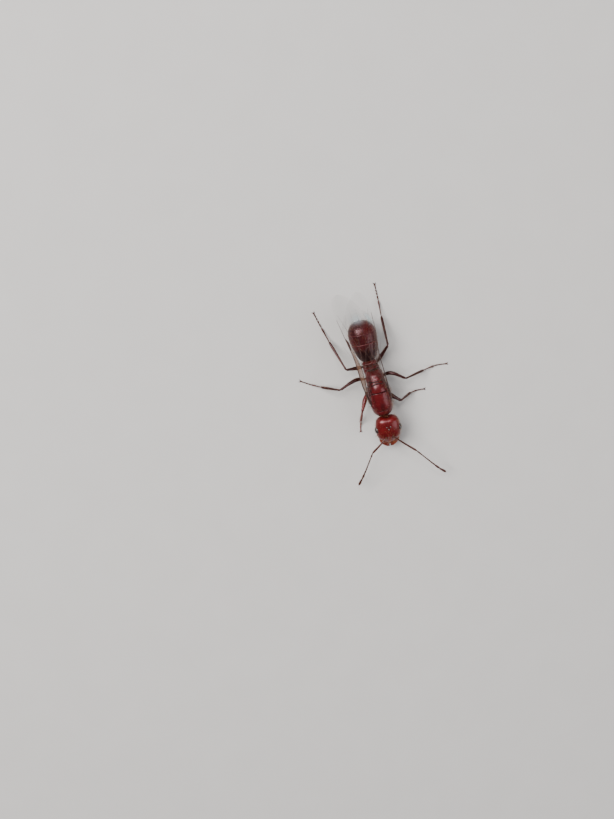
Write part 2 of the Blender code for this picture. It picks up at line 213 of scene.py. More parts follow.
RED = shell_finish("red_cuticle", gloss=0.24, coat=0.12,
                   deep=(0.046, 0.0014, 0.0022), bright=(0.086, 0.0035, 0.0048),
                   dark=(0.011, 0.0010, 0.0014), pale=(0.18, 0.035, 0.022))
HEAD_RED = shell_finish("head_cuticle", gloss=0.23, coat=0.12,
                        deep=(0.062, 0.0018, 0.0022), bright=(0.110, 0.0052, 0.0056),
                        dark=(0.013, 0.0015, 0.0018), pale=(0.23, 0.045, 0.026))
MAROON = shell_finish("gaster_cuticle", gloss=0.22, coat=0.05, clouds=1.1,
                      deep=(0.0130, 0.0004, 0.0010), bright=(0.056, 0.0014, 0.0034),
                      dark=(0.0052, 0.0004, 0.0007), pale=(0.095, 0.020, 0.022))
BROWN = shell_finish("leg_cuticle", gloss=0.24, coat=0.08,
                     deep=(0.0110, 0.0020, 0.0016), bright=(0.027, 0.0050, 0.0036),
                     dark=(0.0050, 0.0014, 0.0012), pale=(0.10, 0.026, 0.014))
# A redder, lit copy of the leg finish, for her right fore leg only: painted light.
LIT_FORE_LEG_RED = shell_finish("lit_fore_leg_cuticle", gloss=0.24, coat=0.10,
                            deep=(0.058, 0.0050, 0.0050), bright=(0.105, 0.0105, 0.0090),
                            dark=(0.014, 0.0028, 0.0024), pale=(0.18, 0.036, 0.022))
JAW = shell_finish("jaw_cuticle", gloss=0.22, coat=0.2,
                   deep=(0.100, 0.012, 0.0060), bright=(0.165, 0.026, 0.011),
                   dark=(0.012, 0.003, 0.002), pale=(0.28, 0.09, 0.035))
print("shell finishes:", [finish.name for finish in (RED, HEAD_RED, MAROON, BROWN, LIT_FORE_LEG_RED, JAW)])

# %% [markdown]
# ## Finishes for the small parts
# An eye is black glass, a little browner at the top of each lens. Bristles turn from brown at
# the root to gold at the tip. The skin in the joints is dull and nearly black. Wing veins are
# almost black at the root and brown at their thin ends. One recipe makes all four: two colours,
# blended by the mesh's own `tone` or in spots, and a gloss that wavers a little.

# %% Eyes, bristles, linings and veins
def two_tone_finish(name, first, second, grain, rough, by_tone=True, **constants):
    """A finish of two colours. rough is how far the roughness wavers, and where it starts."""
    finish = Finish(name, **constants)
    share = finish.tone().clamped() if by_tone else finish.speckle(9.0)
    return finish.wear(Base_Color=finish.blend(share, first, second),
                       Roughness=finish.speckle(grain) * rough[0] + rough[1])


EYE = two_tone_finish("eye_lens", (0.030, 0.014, 0.014), (0.004, 0.003, 0.003), 30.0, (0.15, 0.12),
                      Coat_Weight=0.7, Coat_Roughness=0.06, IOR=1.5)
BRISTLE = two_tone_finish("golden_bristle", (0.20, 0.085, 0.034), (0.36, 0.18, 0.070), 12.0, (0.2, 0.28),
                          IOR=1.55)
LINING = two_tone_finish("joint_membrane", (0.010, 0.002, 0.002), (0.024, 0.006, 0.005), 25.0, (0.2, 0.45),
                         by_tone=False, IOR=1.45)
VEIN = two_tone_finish("wing_vein", (0.055, 0.020, 0.014), (0.024, 0.007, 0.005), 20.0, (0.2, 0.3),
                       Coat_Weight=0.3, Coat_Roughness=0.2)
print("small finishes:", [finish.name for finish in (EYE, BRISTLE, LINING, VEIN)])

# %% [markdown]
# ## Wing film
# A wing is two skins of clear film pressed together over a net of tubes. It hardly shows but
# for a faint smoky tint and its shine, so its alpha is low. The tint is warmer in the narrow
# cell behind the front edge, where the mesh's `tone` is above zero. Below zero the tone gives
# a pearly sheen, green and rose in soft patches, as thin film shows where light glances off.

# %% Film finish
film_finish = Finish("wing_film", Coat_Weight=0.35, Coat_Roughness=0.1, IOR=1.55)
film_tone = film_finish.tone().clamped()
film_sheen = (0 - film_finish.tone()).clamped()
sheen_hue = film_finish.blend(film_finish.speckle(1.6), (0.10, 0.36, 0.36), (0.42, 0.30, 0.36))
thin_hue = film_finish.blend(film_sheen, (0.045, 0.022, 0.018), sheen_hue)
WING_FILM = film_finish.wear(
    Base_Color=film_finish.blend(film_tone, thin_hue, (0.150, 0.076, 0.046)),
    Roughness=film_finish.speckle(3.0) * 0.12 + 0.14,
    Alpha=film_tone * 0.90 + film_sheen * 0.40 + film_finish.speckle(1.4) * 0.045 + 0.030,
    Normal=film_finish.relief(film_finish.speckle(5.0, 1.0), 0.006),
)
print("film finish:", WING_FILM.name)

# %% [markdown]
# ## Curves through a few sizes
# Each organic form is given by a handful of rows of sizes. `through` reads any row in between
# on a smooth curve, and `ease` packs steps close together near both ends, where the rims curl.

# %% Smooth rows
def through(rows, at):
    """Every column after the first, read at a value of the first, on a smooth curve."""
    last = len(rows) - 1
    i = 0
    while i < last - 1 and rows[i + 1][0] < at:
        i += 1
    near, far = rows[i], rows[i + 1]
    before, after = rows[max(i - 1, 0)], rows[min(i + 2, last)]
    span = far[0] - near[0]
    t = min(max((at - near[0]) / span, 0.0), 1.0)
    values = []
    for column in range(1, len(near)):
        leave = (far[column] - before[column]) / (far[0] - before[0]) * span
        arrive = (after[column] - near[column]) / (after[0] - near[0]) * span
        step = far[column] - near[column]
        values.append(near[column] + t * (leave + t * (3 * step - 2 * leave - arrive
                                                       + t * (leave + arrive - 2 * step))))
    return values


def ease(t):
    """0 to 1, slow at both ends."""
    return 0.5 - 0.5 * math.cos(math.pi * t)


def hump(distance, width):
    """A soft bump: 1 in its middle, next to nothing at twice its width."""
    return math.exp(-(distance / width) ** 2)


def step_up(value, start, end):
    """0 before start, 1 after end, smooth between."""
    t = min(max((value - start) / (end - start), 0.0), 1.0)
    return t * t * (3 - 2 * t)


print("half way between two rows:", through([(0, 1), (1, 2), (2, 4)], 0.5))

# %% [markdown]
# ## From sheets of points to pieces
# A `Shell` gathers sheets of points into one mesh. Every sheet keeps its own strip of the unwrap, which the
# bristles read later, and its own tone. `shown` turns a shell into an object, and `present` ties it to the
# imported model and hides the solids that it stands for.

# %% The shell builder
class Shell:
    """Sheets of points gathered into one mesh. sheet and solid give the shell back."""

    def __init__(self):
        self.points = []
        self.faces = []
        self.corners = []
        self.tones = []
        self.sheets = 0

    def sheet(self, grid, tone=0.0, put=place, wrap=False, ends=False):
        """Add rows of (x, y, z) in millimetres. tone is a number or a function of (row, column)."""
        start = len(self.points)
        count = len(grid[0])
        rows = len(grid)
        for r, row in enumerate(grid):
            for c, point in enumerate(row):
                self.points.append(put(*point))
                self.tones.append(tone(r / (rows - 1), c / count) if callable(tone) else tone)
        for r in range(rows - 1):
            for c in range(count if wrap else count - 1):
                d = (c + 1) % count
                near, far = start + r * count, start + (r + 1) * count
                self.faces.append((near + c, near + d, far + d, far + c))
                self.corners.append([(self.sheets, u / count, v / (rows - 1)) for u, v in
                                     ((c, r), (c + 1, r), (c + 1, r + 1), (c, r + 1))])
        if ends:
            self.close(start, count, 0, self.tones[start])
            self.close(start + (rows - 1) * count, count, 1, self.tones[-1])
        self.sheets += 1
        return self

    def solid(self, rings, tone=0.0, put=place):
        """Add rings that close on themselves, capped at both ends."""
        return self.sheet(rings, tone, put, wrap=True, ends=True)

    def close(self, first, count, v, tone):
        """Close one end of a wrapped sheet with a fan."""
        ring = range(first, first + count)
        self.points.append(sum((self.points[i] for i in ring), Vector()) / count)
        self.tones.append(tone)
        middle = len(self.points) - 1
        for c, i in enumerate(ring):
            j = first + (c + 1) % count
            self.faces.append((middle, j, i) if v == 0 else (middle, i, j))
            self.corners.append([(self.sheets, (c + k) / count, v) for k in (0.5, v == 0, v == 1)])

    def mesh(self, name):
        uvs = [((part + u) / self.sheets, v) for face in self.corners for part, u, v in face]
        made = build_mesh(name, self.points, self.faces, "skin", uvs, self.tones)
        made.validate()
        return made


square = ((1, 0), (0, 1), (-1, 0), (0, -1))
box = Shell().solid([[(x, y, z) for x, y in square] for z in (0, 1)])
print("a closed box of two square rings:", len(box.points), "points,", len(box.faces), "faces")


# %% From mesh to shown piece
BODY = "root"
made_pieces = {}


def build_mesh(name, points, faces, unwrap, uvs, tones):
    """A mesh with one unwrap, and a tone at every point."""
    made = bpy.data.meshes.new(name)
    made.from_pydata(points, [], faces)
    made.uv_layers.new(name=unwrap).data.foreach_set("uv", [value for pair in uvs for value in pair])
    made.attributes.new("tone", "FLOAT", "POINT").data.foreach_set("value", tones)
    return made


def add_object(name, data):
    """A new object in the scene."""
    made = bpy.data.objects.new(name, data)
    bpy.context.scene.collection.objects.link(made)
    return made


def present(name, mesh, finish, stands_for=()):
    """Make the object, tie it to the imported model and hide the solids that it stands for."""
    mesh.shade_smooth()
    mesh.materials.append(finish)
    piece = add_object(name, mesh)
    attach(piece, BODY)
    if stands_for:
        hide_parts(*stands_for)
    made_pieces[name] = piece
    print("%-22s %6d faces" % (name, len(mesh.polygons)))


def shown(name, shell, finish, slot, *stands_for):
    """A piece from a shell, with its faces turned outwards."""
    mesh = shell.mesh(name)
    shape = bmesh.new()
    shape.from_mesh(mesh)
    bmesh.ops.recalc_face_normals(shape, faces=shape.faces)
    shape.to_mesh(mesh)
    shape.free()
    present(name, mesh, finish, stands_for)


print("piece kit ready")

# %% [markdown]
# ## Barrels and plates
# Trunk, waist, gaster and head are barrels: rounded rings whose middle, width, floor and top
# follow rows of sizes. A plate is a patch of a barrel between two edges across the body and
# two angles round it. Near its rim it falls below the surface on a quarter circle, so two
# plates side by side leave a real groove with rounded lips.

# %% Barrels
class Barrel:
    """Rounded rings along Y. Rows are (along, y, centre x, half width, low, high)."""

    def __init__(self, rows, power):
        self.rows = rows
        self.power = 2 / power

    def point(self, along, degrees, out=0.0):
        """0 degrees is the ant's left side, 90 her back. out lifts the point off the surface."""
        y, centre, half, low, high = through(self.rows, along)
        angle = math.radians(degrees)
        across, upward = math.cos(angle), math.sin(angle)
        x = centre + (half + out) * math.copysign(abs(across) ** self.power, across)
        z = (low + high) / 2 + ((high - low) / 2 + out) * math.copysign(abs(upward) ** self.power, upward)
        return x, y, z

    def rings(self, start, end, rows, sides, out=0.0):
        """Whole rings, lifted off the surface by out."""
        return [[self.point(start + (end - start) * ease(r / rows), 360 * (c + 0.5) / sides, out)
                 for c in range(sides)] for r in range(rows + 1)]


def along_y(rows):
    """Rows of (y, centre x, half width, low, high), read along y itself."""
    return [(row[0], *row) for row in rows]


trial = Barrel(along_y(((0, 0, 1, -1, 1), (1, 0, 1, -1, 1))), 2.3)
print("a square of radius 1, rounded, at 45 degrees:", [round(value, 3) for value in trial.point(0.5, 45)])

# %% Plates
RIM = (0.04, 0.06)              # mm: how far in the rim starts to roll, and how deep its edge lies
TYPICAL_RADIUS = 0.6            # mm, turns an angle round the body into a length


def edge_at(edge, degrees):
    """An edge is a number, or a function of the angle round the body."""
    return edge(degrees) if callable(edge) else edge


def plate(barrel, front, rear, start, end, rise=None, mesh=(30, 36), rim=RIM):
    """A patch of a barrel between its front and rear edges, from start to end degrees."""
    grid = []
    rows, columns = mesh
    roll, depth = rim
    around = math.radians(abs(end - start)) * TYPICAL_RADIUS
    for r in range(rows + 1):
        s = ease(r / rows)
        row = []
        for c in range(columns + 1):
            t = ease(c / columns)
            degrees = start + (end - start) * t
            y0, y1 = edge_at(front, degrees), edge_at(rear, degrees)
            y = y0 + (y1 - y0) * s
            near_end = max(0.0, 1 - min(s, 1 - s) * abs(y1 - y0) / roll)
            near_side = max(0.0, 1 - min(t, 1 - t) * around / roll)
            corner = min(1.0, math.hypot(near_end, near_side))
            fall = depth * (1 - math.sqrt(1 - corner ** 2))
            lift = rise(y, degrees) if rise else 0.0
            row.append(barrel.point(y, degrees, lift - fall))
        grid.append(row)
    return grid


def painted_rim_shade(amount=0.8, reach=0.10):
    """Painted shade: darker towards the rim of a plate, where it rolls into the groove."""
    def tone(s, t):
        s, t = ease(s), ease(t)
        return amount * (1 - step_up(min(s, 1 - s, t, 1 - t), 0.0, reach))
    return tone


print("a plate's rim lies", RIM[1], "mm below its middle")

# %% [markdown]
# ## Tubes for limbs
# A leg joint swells and pinches, so a tube follows a smooth path and takes its thickness from
# rows of (share of the length, radius). Its rings turn as little as they can from one to the
# next, which keeps the skin from twisting.

# %% Tubes
def smooth_path(points, t):
    """A point on a smooth curve through the points, t from 0 to 1, paced by length."""
    lengths = [0.0]
    for near, far in zip(points, points[1:]):
        lengths.append(lengths[-1] + math.dist(near, far))
    rows = [(length / lengths[-1], *point) for length, point in zip(lengths, points)]
    return Vector(through(rows, t))


def tube(points, radii, rows, sides, flat=1.0, start=0.0, end=1.0):
    """Rings along a path. flat squeezes them up and down. start and end take a stretch of it."""
    grid = []
    upward = Vector((0, 0, 1))
    for r in range(rows + 1):
        share = ease(r / rows)
        t = start + (end - start) * share
        centre = smooth_path(points, t)
        ahead = (smooth_path(points, min(t + 0.02, 1)) - smooth_path(points, max(t - 0.02, 0))).normalized()
        across = ahead.cross(upward).normalized()
        upward = across.cross(ahead).normalized()
        radius = through(radii, share)[0]
        ring = []
        for c in range(sides):
            angle = 2 * math.pi * c / sides
            ring.append(centre + radius * (math.cos(angle) * across + flat * math.sin(angle) * upward))
        grid.append(ring)
    return grid


def bead(centre, size, rows, sides, along=Vector((0, 0, 1))):
    """A small egg: two half sizes across its own axis and one along it."""
    turn = along.to_track_quat("Z", "Y").to_matrix()
    grid = []
    for r in range(rows + 1):
        angle = math.pi * (0.02 + 0.96 * r / rows)
        ring = []
        for c in range(sides):
            around = 2 * math.pi * c / sides
            local = Vector((size[0] * math.sin(angle) * math.cos(around),
                            size[1] * math.sin(angle) * math.sin(around), size[2] * math.cos(angle)))
            ring.append(Vector(centre) + turn @ local)
        grid.append(ring)
    return grid


print("middle of a bent path:", smooth_path([(0, 0, 0), (1, 0, 0), (1, 1, 0)], 0.5))

# %% [markdown]
# ## The trunk
# A queen carries flight muscles, so her trunk is deep and most of its back is one big shield,
# the mesoscutum. In front of it sits a narrow collar, the pronotum. Behind come two little
# triangles, the round scutellum, a thin band, and the sloping propodeum. Tall side plates
# cover the muscles. We keep the solids' own rows of sizes, and lay plates on that barrel.

# %% Trunk sizes
TRUNK = Barrel(along_y((
    (-1.64, THORAX_X, 0.22, 1.46, 1.88),
    (-1.58, THORAX_X, 0.36, 1.34, 2.00),
    (-1.44, THORAX_X, 0.52, 1.22, 2.12),
    (-1.22, THORAX_X, 0.62, 1.13, 2.24),
    (-0.90, THORAX_X, 0.67, 1.08, 2.36),
    (-0.45, THORAX_X, 0.69, 1.05, 2.43),
    (0.10, THORAX_X, 0.67, 1.05, 2.45),
    (0.55, THORAX_X, 0.58, 1.07, 2.39),
    (0.90, THORAX_X, 0.54, 1.10, 2.21),
    (1.15, THORAX_X, 0.50, 1.15, 2.10),
    (1.36, 0.05, 0.36, 1.24, 1.88),
)), 2.3)
BACK, BELLY = 90, 270           # degrees round the body
SIDES = (1, -1)                 # her left and her right, as the sign of x
shown("trunk_lining", Shell().solid(TRUNK.rings(-1.60, 1.36, 40, 40, -0.045)), LINING, "red_shell")
NECK_PATH = ((0.08, -1.40, 1.68), (0.09, -1.62, 1.67), (0.10, -1.82, 1.67))
NECK_RADII = ((0, 0.30), (0.4, 0.19), (0.7, 0.15), (1, 0.13))
# The neck's tone of 0.55 darkens it: painted shade under the head.
shown("neck", Shell().sheet(tube(NECK_PATH, NECK_RADII, 14, 24), 0.55, wrap=True), RED, "red_shell")

# %% Where the trunk's plates meet
SHIELD_SIDE = 60                # degrees from the middle of the back to the shield's side edge
HALF_SEAM = 0.012               # mm from a seam line to the edge of either plate


def off_top(degrees):
    """How far round from the middle of the back, either way."""
    return abs((degrees + 90) % 360 - 180)


def collar_line(degrees):
    """The seam behind the collar: it swings back from the middle to the wing root, then down."""
    off = off_top(degrees)
    if off <= SHIELD_SIDE:
        return -1.20 + 0.50 * (off / SHIELD_SIDE) ** 2.5
    return -0.70 - 0.16 * step_up(off, SHIELD_SIDE, 125)


def wing_pit_line(degrees):
    """The seam between the flight muscle plates and the plates behind them."""
    return 0.46 - 0.07 * math.sin(math.radians(off_top(degrees) - 60) * 1.4)


def beside(line, gap):
    """A line that runs ahead of another, or behind it, by a gap."""
    return lambda degrees: line(degrees) + gap


print("seam at the middle of the back:", round(collar_line(BACK), 2), "mm, at the wing root:",
      round(collar_line(BACK - SHIELD_SIDE), 2), "mm")


# %% Pronotum, the collar
def collar_tone(s, t):
    """Painted shade: dark in front, where the head shades it, and in the groove at the rear seam."""
    s = ease(s)
    return max(0.85 * (1 - step_up(s, 0.22, 0.60)), 0.8 * step_up(s, 0.94, 1.0))


collar = Shell()
collar.sheet(plate(TRUNK, -1.62, beside(collar_line, -HALF_SEAM), -33, 213, mesh=(30, 72)), collar_tone)
for side in SIDES:
    collar.sheet(plate(TRUNK, -1.52, -0.87, BELLY - 52 * side, BELLY - 3 * side, mesh=(18, 18)), painted_rim_shade())
shown("pronotum_plates", collar, RED, "red_shell", "pronotum")


# %% Mesoscutum, the big shield
def shield_rear(degrees):
    return 0.045 - 0.11 * (off_top(degrees) / SHIELD_SIDE) ** 3


def shield_rise(y, degrees):
    """Domed, with a fine line down the middle and one each side."""
    off = degrees - BACK
    middle_line = hump(off, 0.9) * step_up(y, -1.25, -1.1) * (1 - step_up(y, -0.55, -0.25))
    side_lines = hump(abs(off) - 27, 0.9) * step_up(y, -0.80, -0.65)
    return 0.026 * hump(off, 50) - 0.009 * middle_line - 0.010 * side_lines


def shield_tone(s, t):
    """Painted shade at the rim. One dark stripe fades in from the front and two from the rear."""
    rim = painted_rim_shade(0.8, 0.05)(s, t)
    s, t = ease(s), ease(t)
    front_stripe = hump(t - 0.5, 0.07) * (1 - step_up(s, 0.30, 0.62))
    rear_stripes = hump(abs(t - 0.5) - 0.27, 0.06) * step_up(s, 0.30, 0.60)
    return max(rim, 0.55 * front_stripe, 0.50 * rear_stripes)


shield = Shell()
shield.sheet(plate(TRUNK, beside(collar_line, HALF_SEAM), shield_rear, BACK - SHIELD_SIDE,
                   BACK + SHIELD_SIDE, shield_rise, (50, 80)), shield_tone)
shield_top = TRUNK.point(-0.2, BACK, shield_rise(-0.2, BACK))
print("the shield's middle is", round(shield_top[2], 2), "mm up")


# %% Plates over the flight muscles
def flank_rise(y, degrees):
    """Two shallow swellings, parted by a slanting groove and a short upright one."""
    off = off_top(degrees)
    upper_swelling = 0.022 * hump(off - 92, 22) * hump(y + 0.45, 0.45)
    lower_swelling = 0.026 * hump(off - 142, 24) * hump(y + 0.20, 0.5)
    slant = hump(off - (121 - 16 * step_up(y, -0.8, 0.4)), 2.6)
    upright = hump(y + 0.16 - 0.05 * math.sin(off / 12), 0.020) * (1 - step_up(off, 96, 112))
    return upper_swelling + lower_swelling - 0.034 * slant - 0.026 * upright


for side in SIDES:
    shield.sheet(plate(TRUNK, beside(collar_line, HALF_SEAM), beside(wing_pit_line, -HALF_SEAM),
                       BACK - 63 * side, BACK - 172 * side, flank_rise, (56, 72), (0.035, 0.05)),
                 painted_rim_shade(0.7, 0.05))
shield.sheet(plate(TRUNK, -0.85, 0.42, BELLY - 4, BELLY + 4, mesh=(24, 8), rim=(0.02, 0.03)), 0.5)
shown("mesothorax_plates", shield, RED, "red_shell", "mesothorax")


# %% Scutellum and the thin bands behind it
def scutellum_front(degrees):
    return 0.055 + 0.035 * (off_top(degrees) / 40) ** 2


def scutellum_rear(degrees):
    return 0.62 - 0.16 * (off_top(degrees) / 40) ** 2


def scutellum_rise(y, degrees):
    return 0.048 * hump(degrees - BACK, 34) * hump(y - 0.30, 0.34)


def triangle_rear(degrees):
    """The rear edge of the two triangles beside the scutellum."""
    return 0.30 - 0.012 * (off_top(degrees) - 42)


def band_line(degrees):
    """The seam in front of the propodeum."""
    return 0.755 + 0.06 * step_up(off_top(degrees), 60, 100)


def sunk(depth):
    """A plate that lies below its neighbours."""
    return lambda y, degrees: -depth


rear_back = Shell()
rear_back.sheet(plate(TRUNK, scutellum_front, scutellum_rear, BACK - 40, BACK + 40, scutellum_rise,
                      (30, 38)), painted_rim_shade(0.75, 0.08))
for side in SIDES:
    rear_back.sheet(plate(TRUNK, 0.005, triangle_rear, BACK - 59 * side, BACK - 42 * side,
                          mesh=(14, 12), rim=(0.025, 0.04)), painted_rim_shade())
    rear_back.sheet(plate(TRUNK, beside(wing_pit_line, HALF_SEAM), band_line, BACK - 172 * side,
                          BACK - 62 * side, mesh=(16, 40), rim=(0.03, 0.045)), painted_rim_shade(0.7, 0.12))
    rear_back.sheet(plate(TRUNK, beside(triangle_rear, 0.03), 0.745, BACK - 61 * side, BACK - 39 * side,
                          sunk(0.016), (16, 16), (0.025, 0.04)), painted_rim_shade(0.9, 0.2))
rear_back.sheet(plate(TRUNK, beside(scutellum_rear, 0.03), 0.735, BACK - 43, BACK + 43, sunk(0.012),
                      (12, 30), (0.03, 0.045)), painted_rim_shade(0.9, 0.2))
shown("metathorax_plates", rear_back, RED, "red_shell", "metathorax")


# %% Propodeum, the sloping end
def breathing_hole(y, degrees):
    """A raised ring round a pit, one each side: the ant breathes through it."""
    away = math.hypot(y - 1.03, math.radians(off_top(degrees) - 62) * 0.5)
    return 0.018 * hump(away - 0.055, 0.022) - 0.05 * hump(away, 0.034)


def gland_bulge(y, degrees):
    """The swelling of a gland low on each side."""
    return 0.035 * hump(math.hypot(y - 1.10, math.radians(off_top(degrees) - 112) * 0.45), 0.15)


TRUNK_END = 1.358               # just short of the barrel's last row, so that no face collapses
sloping = Shell()
sloping.sheet(plate(TRUNK, beside(band_line, 0.01), TRUNK_END, -4, 184, breathing_hole, (36, 76)),
              painted_rim_shade(0.6, 0.06))
for side in SIDES:
    sloping.sheet(plate(TRUNK, 0.84, 1.35, BACK - 97 * side, BACK - 158 * side, gland_bulge, (24, 26)),
                  painted_rim_shade())
sloping.sheet(plate(TRUNK, 0.80, 1.33, BELLY - 20, BELLY + 20, mesh=(18, 16)), painted_rim_shade())
shown("propodeum_plates", sloping, RED, "red_shell", "propodeum")

# %% Wing hinges
# A small glossy scale, the tegula, covers each wing root like a shoulder guard.
# Behind it three small hinge plates in a row lead to the veins of the fore wing.
WING_ROOTS = ((1, Vector((0.665, -0.66, 2.10))), (-1, Vector((-0.53, -0.78, 2.10))))
HINGE_PLATES = ((0.17, 0.055), (0.27, 0.045), (0.36, 0.050))     # mm behind the root, half width
hinges = Shell()
for side, root in WING_ROOTS:
    out = Vector((0.85 * side, 0, 0.6))
    hinges.solid(bead(root + Vector((-0.03 * side, -0.02, 0.03)), (0.150, 0.100, 0.050), 12, 20, out), 0.25)
    for step, size in HINGE_PLATES:
        spot = root + Vector((-0.02 * side, step, 0.05 + 0.05 * step))
        hinges.solid(bead(spot, (size, 0.8 * size, 0.6 * size), 8, 14, out), 0.6)
shown("tegulae", hinges, RED, "red_shell")

# %% [markdown]
# ## The waist
# Two small nodes join trunk and gaster and let her bend her tail. The first, the petiole, rises
# to a thick scale. The second is lower and broader. Each is a closed barrel of its own.

# %% Petiole and postpetiole
PETIOLE = Barrel(along_y((
    (1.30, 0.05, 0.16, 1.48, 1.68),
    (1.38, 0.04, 0.20, 1.42, 1.73),
    (1.44, 0.04, 0.29, 1.38, 1.85),
    (1.49, 0.03, 0.37, 1.35, 1.98),
    (1.53, 0.03, 0.398, 1.34, 2.035),
    (1.57, 0.02, 0.398, 1.34, 2.035),
    (1.615, 0.02, 0.36, 1.35, 1.96),
    (1.66, 0.02, 0.27, 1.38, 1.82),
    (1.73, 0.01, 0.16, 1.46, 1.70),
)), 2.1)
POSTPETIOLE = Barrel(along_y((
    (1.66, 0.01, 0.16, 1.47, 1.70),
    (1.71, 0.01, 0.30, 1.36, 1.81),
    (1.755, 0.00, 0.415, 1.29, 1.915),
    (1.80, 0.00, 0.468, 1.25, 1.960),
    (1.85, 0.00, 0.478, 1.24, 1.965),
    (1.90, -0.01, 0.445, 1.25, 1.93),
    (1.95, -0.01, 0.36, 1.29, 1.86),
    (2.00, -0.01, 0.25, 1.34, 1.78),
    (2.05, -0.01, 0.18, 1.39, 1.73),
)), 2.1)


def node_tone(s, t):
    """Dark where a node narrows at both ends."""
    s = ease(s)
    return 0.75 * (1 - step_up(min(s, 1 - s), 0.05, 0.30))


for name, barrel in (("petiole", PETIOLE), ("postpetiole", POSTPETIOLE)):
    rings = barrel.rings(barrel.rows[0][0], barrel.rows[-1][0], 34, 48)
    shown(name + "_node", Shell().solid(rings, node_tone), RED, "red_shell", name)

# %% [markdown]
# ## The gaster
# The round tail end is four rings that slide into each other like a telescope. Each ring has a broad back
# plate and a belly plate. The rear edge of every plate is thin, paler and warmer than the rest, and that pale
# band also carries a painted highlight. The front of every ring is darkened with painted shade where it
# slides under the one before, and on the first ring the painted shade is darkest.

# %% Gaster sizes
GASTER_FRONT = 1.96
GASTER_LENGTH = 2.52
GASTER_HALF_WIDTH = 0.83
GASTER_HALF_HEIGHT = 0.72
GASTER_MIDDLE = 1.45            # mm above the floor at the rear, a little more in front


def egg_rows(steps):
    """An egg, blunter in front and wider behind, as rows for a barrel."""
    rows = []
    for k in range(steps + 1):
        angle = math.pi * (0.03 + 0.95 * k / steps)
        along = (1 - math.cos(angle)) / 2
        bluntness = 0.36 if along < 0.5 else 0.72
        fullness = math.sin(angle) ** bluntness * (1 - 0.22 * math.cos(angle))
        middle = GASTER_MIDDLE + 0.05 * (1 - along)
        rows.append((along, GASTER_FRONT + GASTER_LENGTH * along, -0.01, GASTER_HALF_WIDTH * fullness,
                     middle - GASTER_HALF_HEIGHT * fullness, middle + GASTER_HALF_HEIGHT * fullness))
    return rows


GASTER = Barrel(egg_rows(26), 2.1)
shown("gaster_lining", Shell().solid(GASTER.rings(0.004, 0.998, 44, 40, -0.07)), LINING, "dark_shell")
print("gaster is", GASTER_LENGTH, "mm long")

# %% Back and belly plates
def telescope(front, rear, tucked):
    """A plate starts low under the one before it, and ends a little proud."""
    def rise(along, degrees):
        s = (along - front) / (rear - front)
        return -tucked * (1 - step_up(s, 0.0, 0.20)) + 0.012 * step_up(s, 0.70, 1.0)
    return rise


def ring_tone(depth, shade_end):
    """Painted shade from the front up to a share of the ring, and pale along the thin rear edge, which also
    serves as a painted highlight.
    """
    def tone(s, t):
        s = ease(s)
        pale = step_up(s, 0.935, 0.98)
        dark = depth * (1 - step_up(s, 0.55 * shade_end, shade_end)) + 0.35 * hump(s - 0.92, 0.04)
        return dark - 0.95 * pale
    return tone


def bowed(rear):
    """A rear edge that swings back a little at the middle of the back."""
    return lambda degrees: rear + 0.012 * (math.sin(math.radians(max(degrees, 0.0))) - 0.5)


# Where each ring starts and ends, as shares of the gaster's length, how deep its front edge is
# tucked in, its tone, and its rows of faces.
SEGMENTS = (
    (0.003, 0.480, 0.010, ring_tone(0.95, 0.92), 60),
    (0.460, 0.735, 0.034, ring_tone(0.70, 0.20), 34),
    (0.717, 0.886, 0.034, ring_tone(0.70, 0.20), 34),
    (0.868, 0.992, 0.034, ring_tone(0.70, 0.20), 34),
)
for number, (front, rear, tucked, tone, rows) in enumerate(SEGMENTS, 1):
    rise = telescope(front, rear, tucked)
    ring = Shell()
    ring.sheet(plate(GASTER, front, bowed(rear), -22, 202, rise, (rows, 84), (0.02, 0.035)), tone)
    ring.sheet(plate(GASTER, front, rear - 0.012, 206, 334, rise, (rows // 2, 40), (0.02, 0.05)), tone)
    if number == len(SEGMENTS):
        for start, end in ((-12, 192), (200, 340)):
            ring.sheet(plate(GASTER, 0.980, 0.9988, start, end, sunk(0.030), (20, 48), (0.02, 0.03)), 0.35)
    shown("gaster_ring_%d" % number, ring, MAROON, "dark_shell", "gaster_%d" % number)

# %% The sting
STING_PATH = ((-0.01, 4.42, 1.41), (-0.01, 4.52, 1.36), (-0.01, 4.57, 1.30))
STING_RADII = ((0, 0.05), (0.4, 0.03), (0.8, 0.012), (1, 0.003))
sting = Shell().solid(tube(STING_PATH, STING_RADII, 12, 12), lambda s, t: -0.5 + 1.2 * s)
shown("sting", sting, BROWN, "brown_shell")

# %% [markdown]
# ## The head
# The head is the showpiece. It is a broad rounded box, a bit longer than wide, dented at the
# back. In front two fine keels run down the clypeus, the shield above the jaws. Each feeler
# grows from a pit beside a raised lobe. Three small eyes, the ocelli, sit on the crown, and a
# hairline groove runs back from them. We shape one barrel by adding soft bumps and grooves.

# %% Head frame and sizes
HEAD_PLACE = Vector((0.10, -2.55, 1.62))
HEAD_TURN = Euler((math.radians(12), 0, math.radians(-5))).to_matrix()


def in_head(x, y, z):
    """A point in the head's own millimetres."""
    return place(*(HEAD_PLACE + HEAD_TURN @ Vector((x, y, z))))


